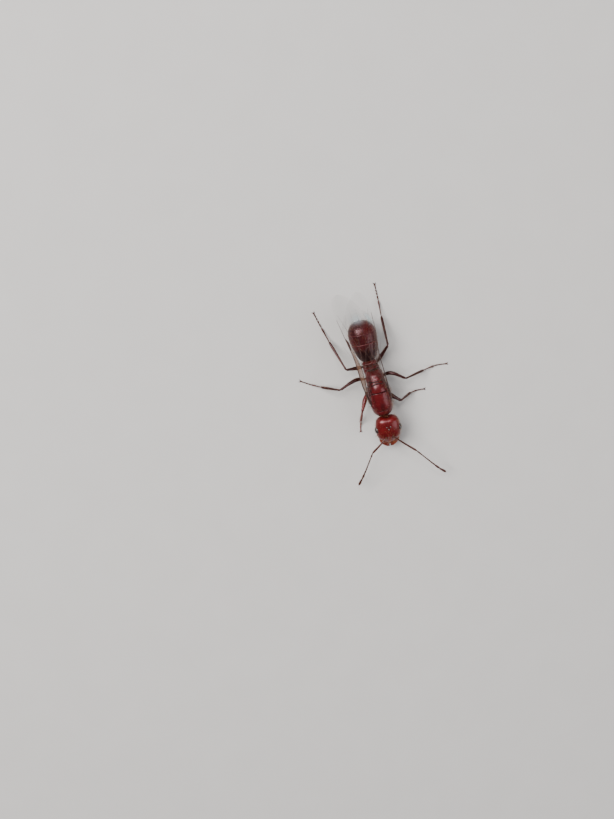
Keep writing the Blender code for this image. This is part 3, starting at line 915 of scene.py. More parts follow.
HEAD_SIZES = (
    (0.00, 0.790, 0, 0.09, -0.07, 0.07),
    (0.04, 0.840, 0, 0.20, -0.13, 0.13),
    (0.08, 0.845, 0, 0.36, -0.22, 0.22),
    (0.13, 0.780, 0, 0.54, -0.32, 0.32),
    (0.22, 0.620, 0, 0.68, -0.42, 0.42),
    (0.38, 0.290, 0, 0.75, -0.48, 0.48),
    (0.58, -0.110, 0, 0.76, -0.48, 0.47),
    (0.76, -0.480, 0, 0.71, -0.43, 0.37),
    (0.87, -0.700, 0, 0.58, -0.36, 0.25),
    (0.95, -0.830, 0, 0.42, -0.28, 0.13),
    (1.00, -0.870, 0, 0.24, -0.20, 0.04),
)
HEAD = Barrel(HEAD_SIZES, 2.35)
EYE_CENTRE = Vector((0.71, 0.04, 0.08))
EYE_SIZE = Vector((0.14, 0.23, 0.20))
FEELER_PIT = Vector((0.22, -0.45, 0.36))
OCELLI = ((0.0, 0.16, 0.062), (0.115, 0.32, 0.052), (-0.115, 0.32, 0.052))      # x, y, radius
OCELLI_TOP = 0.462
head_ends = [row[1] for row in HEAD_SIZES]
print("head is", round(max(head_ends) - min(head_ends), 2), "mm long and",
      2 * max(row[3] for row in HEAD_SIZES), "mm wide")


# %% Bumps and grooves of the head
def face_relief(x, y, z):
    """Height to add at a point of the plain head, in millimetres."""
    off = abs(x)
    top = step_up(z, 0.0, 0.18)
    pit = math.hypot(off - FEELER_PIT.x, y - FEELER_PIT.y)
    raised_lobe = 0.045 * hump(off - 0.105, 0.055) * hump(y + 0.38, 0.16)
    feeler_pit = 0.055 * hump(pit, 0.075) - 0.016 * hump(pit - 0.115, 0.03)
    forehead_groove = 0.020 * hump(off, 0.035) * hump(y + 0.38, 0.18)
    clypeus = 0.030 * hump(off, 0.20) * hump(y + 0.74, 0.16)
    keels = 0.022 * hump(off - 0.13 - 0.10 * (y + 0.84), 0.020) * (1 - step_up(y, -0.66, -0.50))
    hairline = 0.012 * hump(off, 0.011) * step_up(y, -0.22, -0.10)
    crown = 0.012 * hump(math.hypot(x, y - 0.27), 0.20)
    cheek_seam = 0.012 * step_up(off, 0.38, 0.50) * hump(y + 0.62, 0.06)
    ocelli_moats = sum(0.012 * hump(math.hypot(x - ox, y - oy) - radius - 0.012, 0.016)
                       for ox, oy, radius in OCELLI)
    face = raised_lobe + clypeus + keels + crown - feeler_pit - forehead_groove - hairline - cheek_seam
    from_eye = math.dist((off / EYE_SIZE.x, y / EYE_SIZE.y, z / EYE_SIZE.z),
                         (EYE_CENTRE.x / EYE_SIZE.x, EYE_CENTRE.y / EYE_SIZE.y, EYE_CENTRE.z / EYE_SIZE.z))
    eye_socket = 0.022 * hump(from_eye - 1.06, 0.10) - 0.010 * hump(from_eye - 1.32, 0.12)
    throat_groove = 0.02 * step_up(-z, 0.20, 0.36) * hump(off, 0.025) * step_up(y, -0.55, -0.35)
    return top * (face - ocelli_moats) - eye_socket - throat_groove


def back_dent(x, y):
    """The back of the head is pulled in at the middle."""
    return -0.030 * hump(x, 0.20) * step_up(y, 0.55, 0.84)


def head_surface(along, degrees):
    x, y, z = HEAD.point(along, degrees)
    x, _, z = HEAD.point(along, degrees, face_relief(x, y, z))
    lip = 0.075 * step_up(-y, 0.68, 0.86) * hump(x, 0.27) * step_up(z, -0.14, 0.02)
    return x, y + back_dent(x, y) - lip, z


def head_tone(s, t):
    """Darker round the ocelli, painted shade in the feeler pits and at the neck, paler at the clypeus."""
    x, y, z = head_surface(s, 360 * t)
    top = step_up(z, 0.0, 0.18)
    crown = 0.55 * hump(math.hypot(x * 0.9, y - 0.26), 0.17) * top
    pits = 0.5 * top * hump(math.hypot(abs(x) - 0.20, y + 0.50), 0.09)
    front = 0.45 * step_up(-y, 0.74, 0.86)
    neck = 0.7 * (1 - step_up(s, 0.02, 0.08))
    return max(crown, pits, neck) - front


print("deepest at a feeler pit:", round(face_relief(*FEELER_PIT), 3), "mm")

# %% Head capsule
HEAD_ROWS, HEAD_COLUMNS = 130, 168
rings = [[head_surface(r / HEAD_ROWS, 360 * c / HEAD_COLUMNS) for c in range(HEAD_COLUMNS)]
         for r in range(HEAD_ROWS + 1)]
shown("head_capsule", Shell().solid(rings, head_tone, in_head), HEAD_RED, "red_shell", "head")

# %% Compound eyes
LENS_REACH = 0.075              # half the way from one lens to the next, on a ball of radius 1


def compound_eye(name, side, stands_for):
    """A bulging eye of many small lenses: each point rises towards its nearest lens centre."""
    ball = bmesh.new()
    bmesh.ops.create_icosphere(ball, subdivisions=4, radius=1)
    lens_tree = kdtree.KDTree(len(ball.verts))
    for vert in ball.verts:
        lens_tree.insert(vert.co, vert.index)
    lens_tree.balance()
    print(name, len(ball.verts), "lenses")
    bmesh.ops.subdivide_edges(ball, edges=ball.edges[:], cuts=2, use_grid_fill=True)
    tone = ball.verts.layers.float.new("tone")
    centre = Vector((side * EYE_CENTRE.x, EYE_CENTRE.y, EYE_CENTRE.z))
    for vert in ball.verts:
        unit = vert.co.normalized()
        _, _, away = lens_tree.find(unit)
        rise = 1 - (away / LENS_REACH) ** 2
        vert[tone] = 1 - max(0.0, rise)
        local = Vector([value * size for value, size in zip(unit, EYE_SIZE)]) * (0.985 + 0.022 * rise)
        vert.co = in_head(*(centre + local))
    mesh = bpy.data.meshes.new(name)
    ball.to_mesh(mesh)
    ball.free()
    present(name, mesh, EYE, (stands_for,))


compound_eye("compound_eye_left", 1, "eye_left")
compound_eye("compound_eye_right", -1, "eye_right")

# %% The three ocelli
crown_eyes = Shell()
for x, y, radius in OCELLI:
    crown_eyes.solid(bead((x, y, OCELLI_TOP), (radius, radius, 0.042), 10, 20), 0.3, in_head)
shown("ocelli", crown_eyes, EYE, "black_eye")

# %% [markdown]
# ## The jaws
# Each jaw is a stout curved scoop. It is thick at the cheek, thin at the biting edge, and has
# four teeth that grow darker towards their points. Fine ridges run down its outer face.

# %% Jaw sizes
# Rows of (distance ahead, outer edge x, inner edge x, low, high), root to point.
JAW_ROWS = (
    (0.62, 0.58, 0.30, -0.27, -0.03),
    (0.76, 0.62, 0.17, -0.32, 0.00),
    (0.90, 0.63, 0.035, -0.36, 0.00),
    (1.04, 0.59, 0.004, -0.37, -0.03),
    (1.18, 0.49, 0.002, -0.37, -0.07),
    (1.32, 0.33, 0.002, -0.36, -0.13),
    (1.40, 0.20, 0.004, -0.345, -0.175),
    (1.44, 0.07, 0.020, -0.30, -0.25),
)
JAW_ROOT = 0.62
JAW_LENGTH = 0.82
TEETH = (1.06, 1.17, 1.28, 1.40)
TOOTH_SIZE = 0.028              # mm: its depth, its half width, and the right jaw's shift
print("teeth on a jaw:", len(TEETH))


# %% Jaw shape
def jaw_grid(side, shift):
    """Rings from root to point. shift moves the teeth ahead, so that the jaws interlock."""
    grid = []
    rows, columns = 90, 36
    for r in range(rows + 1):
        ahead = JAW_ROOT + JAW_LENGTH * math.sin(math.pi / 2 * r / rows)
        outer, inner, low, high = through(JAW_ROWS, ahead)
        tooth = max(hump(ahead - at - shift, TOOTH_SIZE) for at in TEETH)
        biting = step_up(ahead, 0.96, 1.04)
        inner += biting * TOOTH_SIZE * (1 - tooth)
        inner = min(inner, outer - 0.02)
        ring = []
        for c in range(columns):
            angle = 2 * math.pi * c / columns
            across = (1 + math.cos(angle)) / 2
            x = inner + (outer - inner) * across
            thin = 1 - biting * 0.72 * (1 - across) ** 1.2
            groove = 0.006 * math.sin(across * 60) * step_up(across, 0.3, 0.6) * (math.sin(angle) > 0)
            z = (low + high) / 2 + ((high - low) / 2 * thin + groove) * math.sin(angle)
            ring.append((side * x, -ahead, z))
        grid.append(ring)
    return grid


def jaw_tone(s, t):
    """Dark along the biting edge and towards the point."""
    inwards = (1 - math.cos(2 * math.pi * t)) / 2
    return 0.95 * step_up(s, 0.45, 0.72) * step_up(inwards, 0.55, 1.0) + 0.5 * step_up(s, 0.85, 1.0)


for word, side, shift in (("left", 1, 0.0), ("right", -1, TOOTH_SIZE)):
    jaw = Shell().solid(jaw_grid(side, shift), jaw_tone, in_head)
    shown("jaw_" + word, jaw, JAW, "jaw_shell", "mandible_" + word)

# %% Lip and palps under the head
PALP_RADII = ((0, 0.018), (0.5, 0.022), (1, 0.012))
mouth = Shell()
mouth.solid(bead((0, -0.80, -0.30), (0.17, 0.16, 0.07), 10, 20), 0.3, in_head)
mouth.solid(bead((0, -1.05, -0.35), (0.15, 0.27, 0.035), 12, 20), 0.7, in_head)
for side in SIDES:
    palp = ((0.14 * side, -0.80, -0.33), (0.19 * side, -0.92, -0.41), (0.17 * side, -1.04, -0.42))
    mouth.solid(tube(palp, PALP_RADII, 10, 8), 0.0, in_head)
shown("mouthparts", mouth, BROWN, "brown_shell")

# %% [markdown]
# ## The feelers
# A feeler is a long shaft, the scape, then a whip of ten short beads. The last two are the
# biggest and make the club that a fire ant touches things with. Each bead is narrow where it
# sits in the one before, so the whip shows its joints.

# %% Chains of joints
def seat_tone(amount, fade, base):
    """Dark where a joint is seated in the one before it, then paler."""
    return lambda s, t: amount * (1 - step_up(s, 0.0, fade)) + base


def chain(shell, path, joints, sides, overlap, gap, tone):
    """Joints along a path, from pairs of (share of the path, rows of thickness)."""
    reach = 0.0
    for share, radii in joints:
        end = min(1.0, reach + share)
        shell.solid(tube(path, radii, 12, sides, 1.0, max(0.0, reach - overlap), end - gap), tone)
        reach = end


def bead_shape(radius, tip=0.72):
    """Thickness along one bead of the whip. tip is how blunt it ends."""
    return ((0.0, 0.45 * radius), (0.12, 0.62 * radius), (0.5, 0.93 * radius), (0.82, radius),
            (1.0, tip * radius))


print("tone at a seat and beyond it:", [round(seat_tone(0.55, 0.25, -0.15)(s, 0), 2) for s in (0, 1)])

# %% Feelers
# Elbow, middle of the whip and its tip.
FEELERS = {
    "left": ((1.46, -4.44, 1.72), (2.52, -6.05, 1.20), (2.98, -6.66, 0.86)),
    "right": ((-1.22, -3.84, 1.72), (-2.06, -5.26, 1.20), (-2.55, -5.98, 0.86)),
}
SCAPE = ((0.0, 0.045), (0.022, 0.062), (0.05, 0.038), (0.10, 0.036), (0.2, 0.044), (0.6, 0.058),
         (0.94, 0.062), (1.0, 0.035))
# Each bead's share of the whip and its radius in mm.
BEADS = ((0.125, 0.048), (0.062, 0.040), (0.062, 0.041), (0.064, 0.042), (0.066, 0.043), (0.068, 0.045),
         (0.072, 0.048), (0.081, 0.053), (0.150, 0.068), (0.250, 0.074))
whip_joints = [(share, bead_shape(radius)) for share, radius in BEADS]
whip_joints[-1] = (BEADS[-1][0], bead_shape(BEADS[-1][1], 0.25))
for word, (elbow, middle, tip) in FEELERS.items():
    side = 1 if word == "left" else -1
    socket = HEAD_PLACE + HEAD_TURN @ Vector((side * (FEELER_PIT.x - 0.01), FEELER_PIT.y + 0.02, 0.335))
    bow = socket.lerp(Vector(elbow), 0.4) + Vector((0, 0, 0.09))
    shaft = Shell().solid(tube((socket, bow, elbow), SCAPE, 30, 16), seat_tone(0.4, 0.1, -0.2))
    shown("feeler_shaft_" + word, shaft, BROWN, "brown_shell", "scape_" + word)
    whip = Shell()
    chain(whip, (elbow, middle, tip), whip_joints, 16, 0.004, 0.0, seat_tone(0.55, 0.25, -0.15))
    shown("feeler_whip_" + word, whip, BROWN, "brown_shell", "funiculus_" + word)
print("beads in a whip:", len(BEADS))

# %% [markdown]
# ## The legs
# Six legs of the same build: a stout coxa at the trunk, a small trochanter, the femur, which is
# thickest before its middle, the slim tibia with a spur at its end, and a foot of five joints
# with two claws. The paths are those of the solids. The feet run lower than the middle of
# their solids, because they are thinner and the claws have to reach the ground.

# %% Leg paths
# Hip, trochanter, bends of the femur, knee and ankle, then two spots of the foot as (x, y).
LEGS = {
    "fore_left": ((0.32, -0.86, 1.30), (0.46, -0.47, 0.74), (), (1.31, -1.17, 1.22), (2.06, -1.13, 0.34),
                  (2.50, -1.18), (2.98, -1.24)),
    "fore_right": ((-0.20, -0.84, 1.30), (-0.62, -0.27, 0.76), (), (-1.16, -1.25, 1.08), (-1.37, -2.08, 0.34),
                   (-1.44, -2.40), (-1.54, -2.84)),
    "mid_left": ((0.34, 0.26, 1.30), (0.46, 0.55, 0.74), ((1.12, 0.72, 1.22),), (1.93, 0.18, 1.40),
                 (3.18, 0.06, 0.34), (3.95, 0.07), (4.72, -0.03)),
    "mid_right": ((-0.22, 0.36, 1.30), (-0.38, 0.62, 0.74), ((-1.10, 0.84, 1.16),), (-2.16, 0.56, 1.40),
                  (-3.20, 0.72, 0.34), (-3.80, 1.00), (-4.38, 1.38)),
    "hind_left": ((0.30, 0.98, 1.34), (0.42, 1.42, 0.76), (), (1.36, 2.52, 1.40), (1.46, 4.10, 0.34),
                  (1.53, 5.10), (1.56, 6.14)),
    "hind_right": ((-0.20, 0.98, 1.34), (-0.34, 1.40, 0.76), (), (-1.48, 1.68, 1.32), (-2.02, 3.38, 0.34),
                   (-2.28, 4.40), (-2.50, 5.38)),
}
COXA = ((0.0, 0.17), (0.3, 0.205), (0.7, 0.165), (0.95, 0.10), (1.0, 0.06))
FEMUR = ((0.0, 0.035), (0.06, 0.070), (0.16, 0.097), (0.40, 0.124), (0.80, 0.082), (0.95, 0.074), (1.0, 0.03))
FORE_FEMUR = [(share, 1.15 * radius) for share, radius in FEMUR]
TIBIA = ((0.0, 0.038), (0.04, 0.068), (0.12, 0.058), (0.60, 0.080), (0.93, 0.080), (1.0, 0.048))
FOOT = ((0.50, 0.041), (0.135, 0.036), (0.105, 0.036), (0.085, 0.036), (0.175, 0.036))   # share, radius
FOOT_LEVEL = (0.085, 0.040)     # mm above the floor, half way and at the toe
CLAW = ((0, 0.018, 0), (0.05, 0.06, 0.012), (0.115, 0.075, -0.030))     # mm ahead, aside and up
print("legs:", ", ".join(LEGS))


# %% Feet
def foot_shape(radius):
    """Thickness along one joint of the foot, widest near its end."""
    return ((0, 0.55 * radius), (0.1, 0.8 * radius), (0.6, radius), (0.93, 1.22 * radius), (1, 0.7 * radius))


def add_foot(leg, ankle, mid, toe):
    """Five joints, two claws and the pad between them."""
    path = (Vector(ankle), Vector((*mid, FOOT_LEVEL[0])), Vector((*toe, FOOT_LEVEL[1])))
    joints = [(share, foot_shape(radius)) for share, radius in FOOT]
    chain(leg, path, joints, 12, 0.006, 0.02, seat_tone(0.4, 0.2, -0.25))
    tip = smooth_path(path, 0.975)
    ahead = (Vector((*toe, 0)) - Vector((*mid, 0))).normalized()
    across = Vector((-ahead.y, ahead.x, 0))
    for side in SIDES:
        claw = [tip + ahead * on + across * off * side + Vector((0, 0, up)) for on, off, up in CLAW]
        leg.solid(tube(claw, ((0, 0.020), (0.5, 0.014), (1, 0.003)), 10, 8), 0.6)
    leg.solid(bead(tip + ahead * 0.04 - Vector((0, 0, 0.008)), (0.026, 0.026, 0.024), 8, 12), -0.3)


print("joints of a foot:", len(FOOT))


# %% Whole legs
def add_spur(leg, knee, ankle, length):
    """The movable spur at the end of a tibia."""
    down = (Vector(ankle) - Vector(knee)).normalized()
    across = down.cross(Vector((0, 0, 1))).normalized()
    start = Vector(ankle) - down * 0.05 + across * 0.03
    path = (start, start + down * length * 0.6 + across * 0.07, start + down * length + across * 0.06)
    leg.solid(tube(path, ((0, 0.016), (0.6, 0.010), (1, 0.002)), 10, 8), -0.4)


def leg_tone(s, t):
    """Dark at both ends."""
    return 0.55 * (1 - step_up(s, 0.02, 0.12)) + 0.35 * step_up(s, 0.93, 1.0)


for name, (hip, turn, bends, knee, ankle, mid, toe) in LEGS.items():
    fore = name.startswith("fore")
    # Her right fore leg wears the lit copy of the leg finish: painted light.
    skin = LIT_FORE_LEG_RED if name == "fore_right" else BROWN
    hip_part = Shell().solid(tube((hip, turn), COXA, 20, 24), painted_rim_shade(0.6, 0.12))
    shown("hip_" + name, hip_part, RED, "brown_shell", "coxa_" + name)
    ahead = (Vector(bends[0] if bends else knee) - Vector(turn)).normalized()
    thigh = Shell().solid(bead(Vector(turn) + ahead * 0.03, (0.085, 0.085, 0.12), 10, 18, ahead), 0.3)
    path = (Vector(turn) + ahead * 0.08, *bends, knee)
    thigh.solid(tube(path, FORE_FEMUR if fore else FEMUR, 30, 20), leg_tone)
    shown("thigh_" + name, thigh, skin, "brown_shell", "femur_" + name)
    shin = Shell().solid(tube((knee, ankle), TIBIA, 26, 18), leg_tone)
    add_spur(shin, knee, ankle, 0.20 if fore else 0.15)
    shown("shin_" + name, shin, skin, "brown_shell", "tibia_" + name)
    foot = Shell()
    add_foot(foot, ankle, mid, toe)
    shown("foot_" + name, foot, skin, "brown_shell", "tarsus_" + name)

# %% [markdown]
# ## The wings
# All four wings lie back over the gaster, the right pair on top. A fore wing has a stiff front
# edge: two strong veins side by side that end in a dark spot, the stigma. Finer veins branch
# to the rear. The smaller hind wing hooks on behind. We describe a wing by its two edges, and
# then any spot on it by its share of the length and of the width.

# %% Wing outlines
PLEAT = 0.014                   # mm, how high the pleats between the veins stand
SAG = 0.030                     # mm, how far the rear edge hangs


class Wing:
    """Rows of (y, front edge x, rear edge x, z) from the root to the tip."""

    def __init__(self, *rows):
        self.rows = rows
        self.root = rows[0][0]
        self.length = rows[-1][0] - rows[0][0]

    def point(self, s, t, lift=0.0):
        """s runs from root to tip and t from front edge to rear edge."""
        y = self.root + self.length * s
        front, rear, z = through(self.rows, y)
        spread = step_up(s, 0.05, 0.3) * step_up(abs(rear - front), 0.1, 0.6)
        pleat = PLEAT * math.sin(9.0 * t + 1.2) * spread
        return front + (rear - front) * t, y, z + pleat - SAG * t * t + lift


FORE_RIGHT = Wing(
    (-0.78, -0.56, -0.50, 2.10), (-0.45, -0.69, -0.56, 2.24), (0.00, -0.76, -0.52, 2.42),
    (0.60, -0.79, -0.42, 2.64), (1.20, -0.82, -0.24, 2.84), (1.90, -0.84, 0.04, 2.94),
    (2.80, -0.92, 0.42, 2.98), (3.80, -1.08, 0.58, 3.01), (4.80, -1.27, 0.46, 3.04),
    (5.70, -1.40, 0.18, 3.07), (6.30, -1.41, -0.18, 3.09), (6.68, -1.29, -0.54, 3.11),
    (6.84, -1.10, -0.82, 3.12), (6.87, -0.98, -0.94, 3.12))
FORE_LEFT = Wing(
    (-0.66, 0.70, 0.63, 2.10), (-0.30, 0.80, 0.64, 2.20), (0.10, 0.84, 0.62, 2.30),
    (0.45, 0.79, 0.50, 2.36), (1.05, 0.65, 0.30, 2.42), (1.80, 0.59, -0.12, 2.45),
    (2.60, 0.66, -0.62, 2.46), (3.50, 0.76, -0.92, 2.47), (4.50, 0.82, -0.92, 2.48),
    (5.40, 0.80, -0.72, 2.49), (6.00, 0.70, -0.40, 2.50), (6.38, 0.52, -0.10, 2.50),
    (6.54, 0.34, 0.08, 2.50), (6.57, 0.23, 0.19, 2.50))
HIND_RIGHT = Wing(
    (0.50, -0.44, -0.36, 2.16), (0.90, -0.42, -0.20, 2.50), (1.40, -0.30, 0.04, 2.78),
    (1.90, -0.06, 0.34, 2.88), (2.70, 0.28, 0.88, 2.92), (3.70, 0.46, 1.08, 2.94),
    (4.60, 0.38, 0.86, 2.96), (5.20, 0.26, 0.58, 2.97), (5.50, 0.22, 0.36, 2.98), (5.56, 0.25, 0.29, 2.98))
HIND_LEFT = Wing(
    (0.46, 0.60, 0.52, 2.14), (0.85, 0.48, 0.26, 2.30), (1.20, 0.30, 0.02, 2.37),
    (1.70, 0.00, -0.40, 2.39), (2.50, -0.50, -1.08, 2.40), (3.40, -0.80, -1.44, 2.41),
    (4.40, -0.82, -1.26, 2.42), (5.00, -0.72, -0.98, 2.43), (5.26, -0.70, -0.84, 2.43),
    (5.32, -0.74, -0.78, 2.43))
print("fore wing length:", round(FORE_RIGHT.length, 2), "mm, hind wing:", round(HIND_RIGHT.length, 2), "mm")

# %% Veins
# A vein is a path of (share of length, share of width), its radius in mm, and its darkness.
# The second strong vein is also the rear edge of the tan cell.
CELL_EDGE = ((0.0, 0.50), (0.08, 0.50), (0.20, 0.44), (0.35, 0.27), (0.44, 0.15), (0.52, 0.09), (0.58, 0.05))
FORE_VEINS = {
    "costa": (((0.0, 0.0), (0.2, 0.0), (0.45, 0.0), (0.62, 0.0), (0.80, 0.01)), 0.030, 0.95),
    "radius": (CELL_EDGE, 0.024, 0.90),
    "median_stem": (((0.02, 0.7), (0.10, 0.66), (0.22, 0.58), (0.33, 0.44), (0.40, 0.37), (0.48, 0.36)),
                    0.010, 0.3),
    "median_end": (((0.48, 0.36), (0.60, 0.42), (0.74, 0.50), (0.86, 0.60)), 0.008, 0.2),
    "sector": (((0.37, 0.24), (0.41, 0.31), (0.48, 0.36)), 0.011, 0.4),
    "sector_end": (((0.48, 0.36), (0.56, 0.31), (0.63, 0.24), (0.74, 0.17), (0.84, 0.10)), 0.011, 0.4),
    "stigma_cross": (((0.595, 0.06), (0.61, 0.16), (0.62, 0.25)), 0.010, 0.45),
    "cubitus": (((0.33, 0.40), (0.40, 0.52), (0.50, 0.60), (0.62, 0.72)), 0.008, 0.25),
    "cross": (((0.52, 0.38), (0.50, 0.49), (0.475, 0.585)), 0.007, 0.2),
    "anal": (((0.02, 0.88), (0.12, 0.86), (0.25, 0.80), (0.40, 0.80), (0.52, 0.88)), 0.009, 0.3),
    "anal_cross": (((0.27, 0.515), (0.28, 0.66), (0.29, 0.79)), 0.007, 0.2),
}
HIND_VEINS = {
    "front": (((0.0, 0.0), (0.3, 0.0), (0.6, 0.0)), 0.012, 0.5),
    "stem": (((0.0, 0.5), (0.25, 0.40), (0.5, 0.42), (0.8, 0.50)), 0.008, 0.3),
    "branch": (((0.25, 0.40), (0.45, 0.65), (0.62, 0.85)), 0.007, 0.15),
}
STIGMA = ((0.525, 0.02), (0.56, 0.035), (0.60, 0.035), (0.64, 0.012))
STIGMA_RADII = ((0, 0.012), (0.35, 0.055), (0.7, 0.050), (1, 0.008))


def add_vein(net, wing, spots, radius, dark):
    """A tube that thins out and pales towards its end."""
    path = [wing.point(s, t, 0.006) for s, t in spots]
    radii = ((0.0, 1.25 * radius), (0.25, radius), (0.6, 0.8 * radius), (1.0, 0.30 * radius))
    first = spots[0][0]
    reach = spots[-1][0] - first
    net.solid(tube(path, radii, 10 + 8 * len(spots), 8, 0.75),
              lambda s, t: dark * (1.15 - 0.8 * step_up(first + reach * s, 0.14, 0.60)))


def add_stigma(net, wing):
    """The dark spot where the two strong veins end."""
    net.solid(tube([wing.point(s, t, 0.008) for s, t in STIGMA], STIGMA_RADII, 20, 12, 0.4), 0.55)


print("veins in a fore wing:", len(FORE_VEINS), "in a hind wing:", len(HIND_VEINS))


# %% Tints of the film
def off_margin(t):
    """1 along the middle of a wing, fading to nothing at both edges."""
    return 1 - step_up(abs(2 * t - 1), 0.35, 1.0)


def fore_tint(warm, pearly):
    """Horn colour at the root and in the cell behind the front edge. Below zero, a pearly sheen."""
    def tint(s, t):
        edge, = through(CELL_EDGE, min(s, 0.58))
        edge += 0.5 * (1 - step_up(s, 0.02, 0.12))
        cell = (1 - step_up(t, edge - 0.03, edge + 0.02)) * (1 - step_up(s, 0.52, 0.58))
        patch = hump(s - 0.755, 0.055) * step_up(t, 0.25, 0.70)
        sheen = step_up(s, 0.66, 0.77) * (0.20 + 0.85 * patch) * off_margin(t)
        return warm * cell - pearly * sheen * (1 - cell)
    return tint


def hind_tint(pearly):
    """The same sheen near the tip of a hind wing."""
    return lambda s, t: -pearly * step_up(s, 0.75, 0.88) * (1 - step_up(s, 0.90, 1.0)) * off_margin(t)


tints = [fore_tint(0.80, 1.0)(*spot) for spot in ((0.3, 0.1), (0.755, 0.5))]
print("tone in the tan cell and in the pearly patch:", [round(tint, 2) for tint in tints])

# %% Build the four wings
for word, wing, veins, tint, rows, columns in (
        ("forewing_right", FORE_RIGHT, FORE_VEINS, fore_tint(0.80, 1.0), 110, 48),
        ("forewing_left", FORE_LEFT, FORE_VEINS, fore_tint(0.28, 0.45), 110, 48),
        ("hindwing_right", HIND_RIGHT, HIND_VEINS, hind_tint(0.9), 70, 30),
        ("hindwing_left", HIND_LEFT, HIND_VEINS, hind_tint(0.3), 70, 30)):
    film = [[wing.point(r / rows, c / columns) for c in range(columns + 1)] for r in range(rows + 1)]
    shown(word + "_film", Shell().sheet(film, tint), WING_FILM, "clear_wing", word)
    net = Shell()
    for spots, radius, dark in veins.values():
        add_vein(net, wing, spots, radius, dark)
    if veins is FORE_VEINS:
        add_stigma(net, wing)
    shown(word + "_veins", net, VEIN, "clear_wing")

# %% [markdown]
# ## Bristles
# Golden bristles stand all over a fire ant. Each one is a thin tapering horn that leans back a
# little. We scatter roots over the finished plates by area, and write where each root lies on
# the plate's own unwrap, so that the colour of a bristle can be read there.

# %% Where a bristle grows
def spot_on(rng, mesh, unwrap, polygon):
    """A random spot on a face, and where that spot lies on the unwrap."""
    weights = [rng.random() + 0.05 for _ in polygon.vertices]
    total = sum(weights)
    corners = [mesh.vertices[i].co for i in polygon.vertices]
    uvs = [unwrap[i].uv for i in polygon.loop_indices]
    root = sum((corner * weight for corner, weight in zip(corners, weights)), Vector()) / total
    return root, sum((uv * weight for uv, weight in zip(uvs, weights)), Vector((0, 0))) / total


def stand(rng, normal, lean):
    """The direction of one bristle: off the skin, leaning, a little astray, never lying flat."""
    wobble = Vector((rng.gauss(0, 0.18), rng.gauss(0, 0.18), rng.gauss(0, 0.18)))
    along = (normal + lean + wobble).normalized()
    if along.dot(normal) < 0.25:
        along = (along + normal * 0.5).normalized()
    return along


print("a bristle on a level plate:", stand(random.Random(1), Vector((0, 0, 1)), Vector((0, 0.3, 0))))

# %% One bristle
RINGS = ((-0.06, 1.0), (0.45, 0.72), (0.85, 0.35))      # share of its length, share of its width
RING_SIDES = 4
BRISTLE_POINTS = len(RINGS) * RING_SIDES + 1
PATCH = 0.0015                  # half the side of the spot of unwrap that colours a bristle
SQUARE = ((-PATCH, -PATCH), (PATCH, -PATCH), (PATCH, PATCH), (-PATCH, PATCH))
TRIANGLE = ((-PATCH, -PATCH), (PATCH, -PATCH), (0.0, PATCH))


class Coat:
    """Bristles joined into one mesh."""

    def __init__(self):
        self.points = []
        self.faces = []
        self.uvs = []
        self.tones = []

    def face(self, corners, spot, patch):
        self.faces.append(corners)
        self.uvs.extend((spot.x + dx, spot.y + dy) for dx, dy in patch)

    def add(self, root, along, bend, length, width, spot):
        """Three square rings and a point, along a line that bends over."""
        start = len(self.points)
        across = along.orthogonal().normalized()
        upward = along.cross(across)
        for share, size in RINGS:
            centre = root + along * length * share + bend * max(share, 0) ** 2
            for k in range(RING_SIDES):
                angle = math.pi * (0.5 * k + 0.25)
                out = across * math.cos(angle) + upward * math.sin(angle)
                self.points.append(centre + out * width * size)
                self.tones.append(max(share, 0.0))
        self.points.append(root + along * length + bend)
        self.tones.append(1.0)
        for ring in range(start, start + 2 * RING_SIDES, RING_SIDES):
            for k in range(RING_SIDES):
                j = (k + 1) % RING_SIDES
                self.face((ring + k, ring + j, ring + RING_SIDES + j, ring + RING_SIDES + k), spot, SQUARE)
        last = start + 2 * RING_SIDES
        for k in range(RING_SIDES):
            self.face((last + k, last + (k + 1) % RING_SIDES, last + RING_SIDES), spot, TRIANGLE)


print("points of a bristle:", BRISTLE_POINTS)


# %% A whole coat
def bristle_coat(name, pieces, count, length, lean, seed, thick=0.0044, keep_root=None):
    """One joined mesh of bristles over some pieces. length and thick are in millimetres."""
    rng = random.Random(seed)
    lean = Vector(lean)
    skin = []
    for number, piece in enumerate(pieces):
        mesh = made_pieces[piece].data
        unwrap = mesh.uv_layers["skin"].data
        skin.extend((polygon, mesh, unwrap, number) for polygon in mesh.polygons)
    coat = Coat()
    areas = [polygon.area for polygon, _, _, _ in skin]
    for polygon, mesh, unwrap, number in rng.choices(skin, areas, k=count):
        root, spot = spot_on(rng, mesh, unwrap, polygon)
        normal = polygon.normal.copy()
        if keep_root and not keep_root((root - HOME) / MM, normal):
            continue
        spot.x = (spot.x + number) / len(pieces)
        along = stand(rng, normal, lean)
        reach = length * rng.uniform(0.65, 1.15) * MM
        width = thick * rng.uniform(0.8, 1.15) * MM
        bend = (lean - along * along.dot(lean)) * reach * 0.35
        coat.add(root, along, bend, reach, width, spot)
    mesh = build_mesh(name, coat.points, coat.faces, "OFBake", coat.uvs, coat.tones)
    present(name, mesh, BRISTLE)
    print("%-22s %6d bristles" % ("", len(coat.points) // BRISTLE_POINTS))


# %% Coats of bristles
def upper(point, normal):
    return normal.z > -0.35


def off_neck(point, normal):
    return normal.y < 0.9


def off_sole(point, normal):
    return normal.z > -0.5 and point.z > 0.05


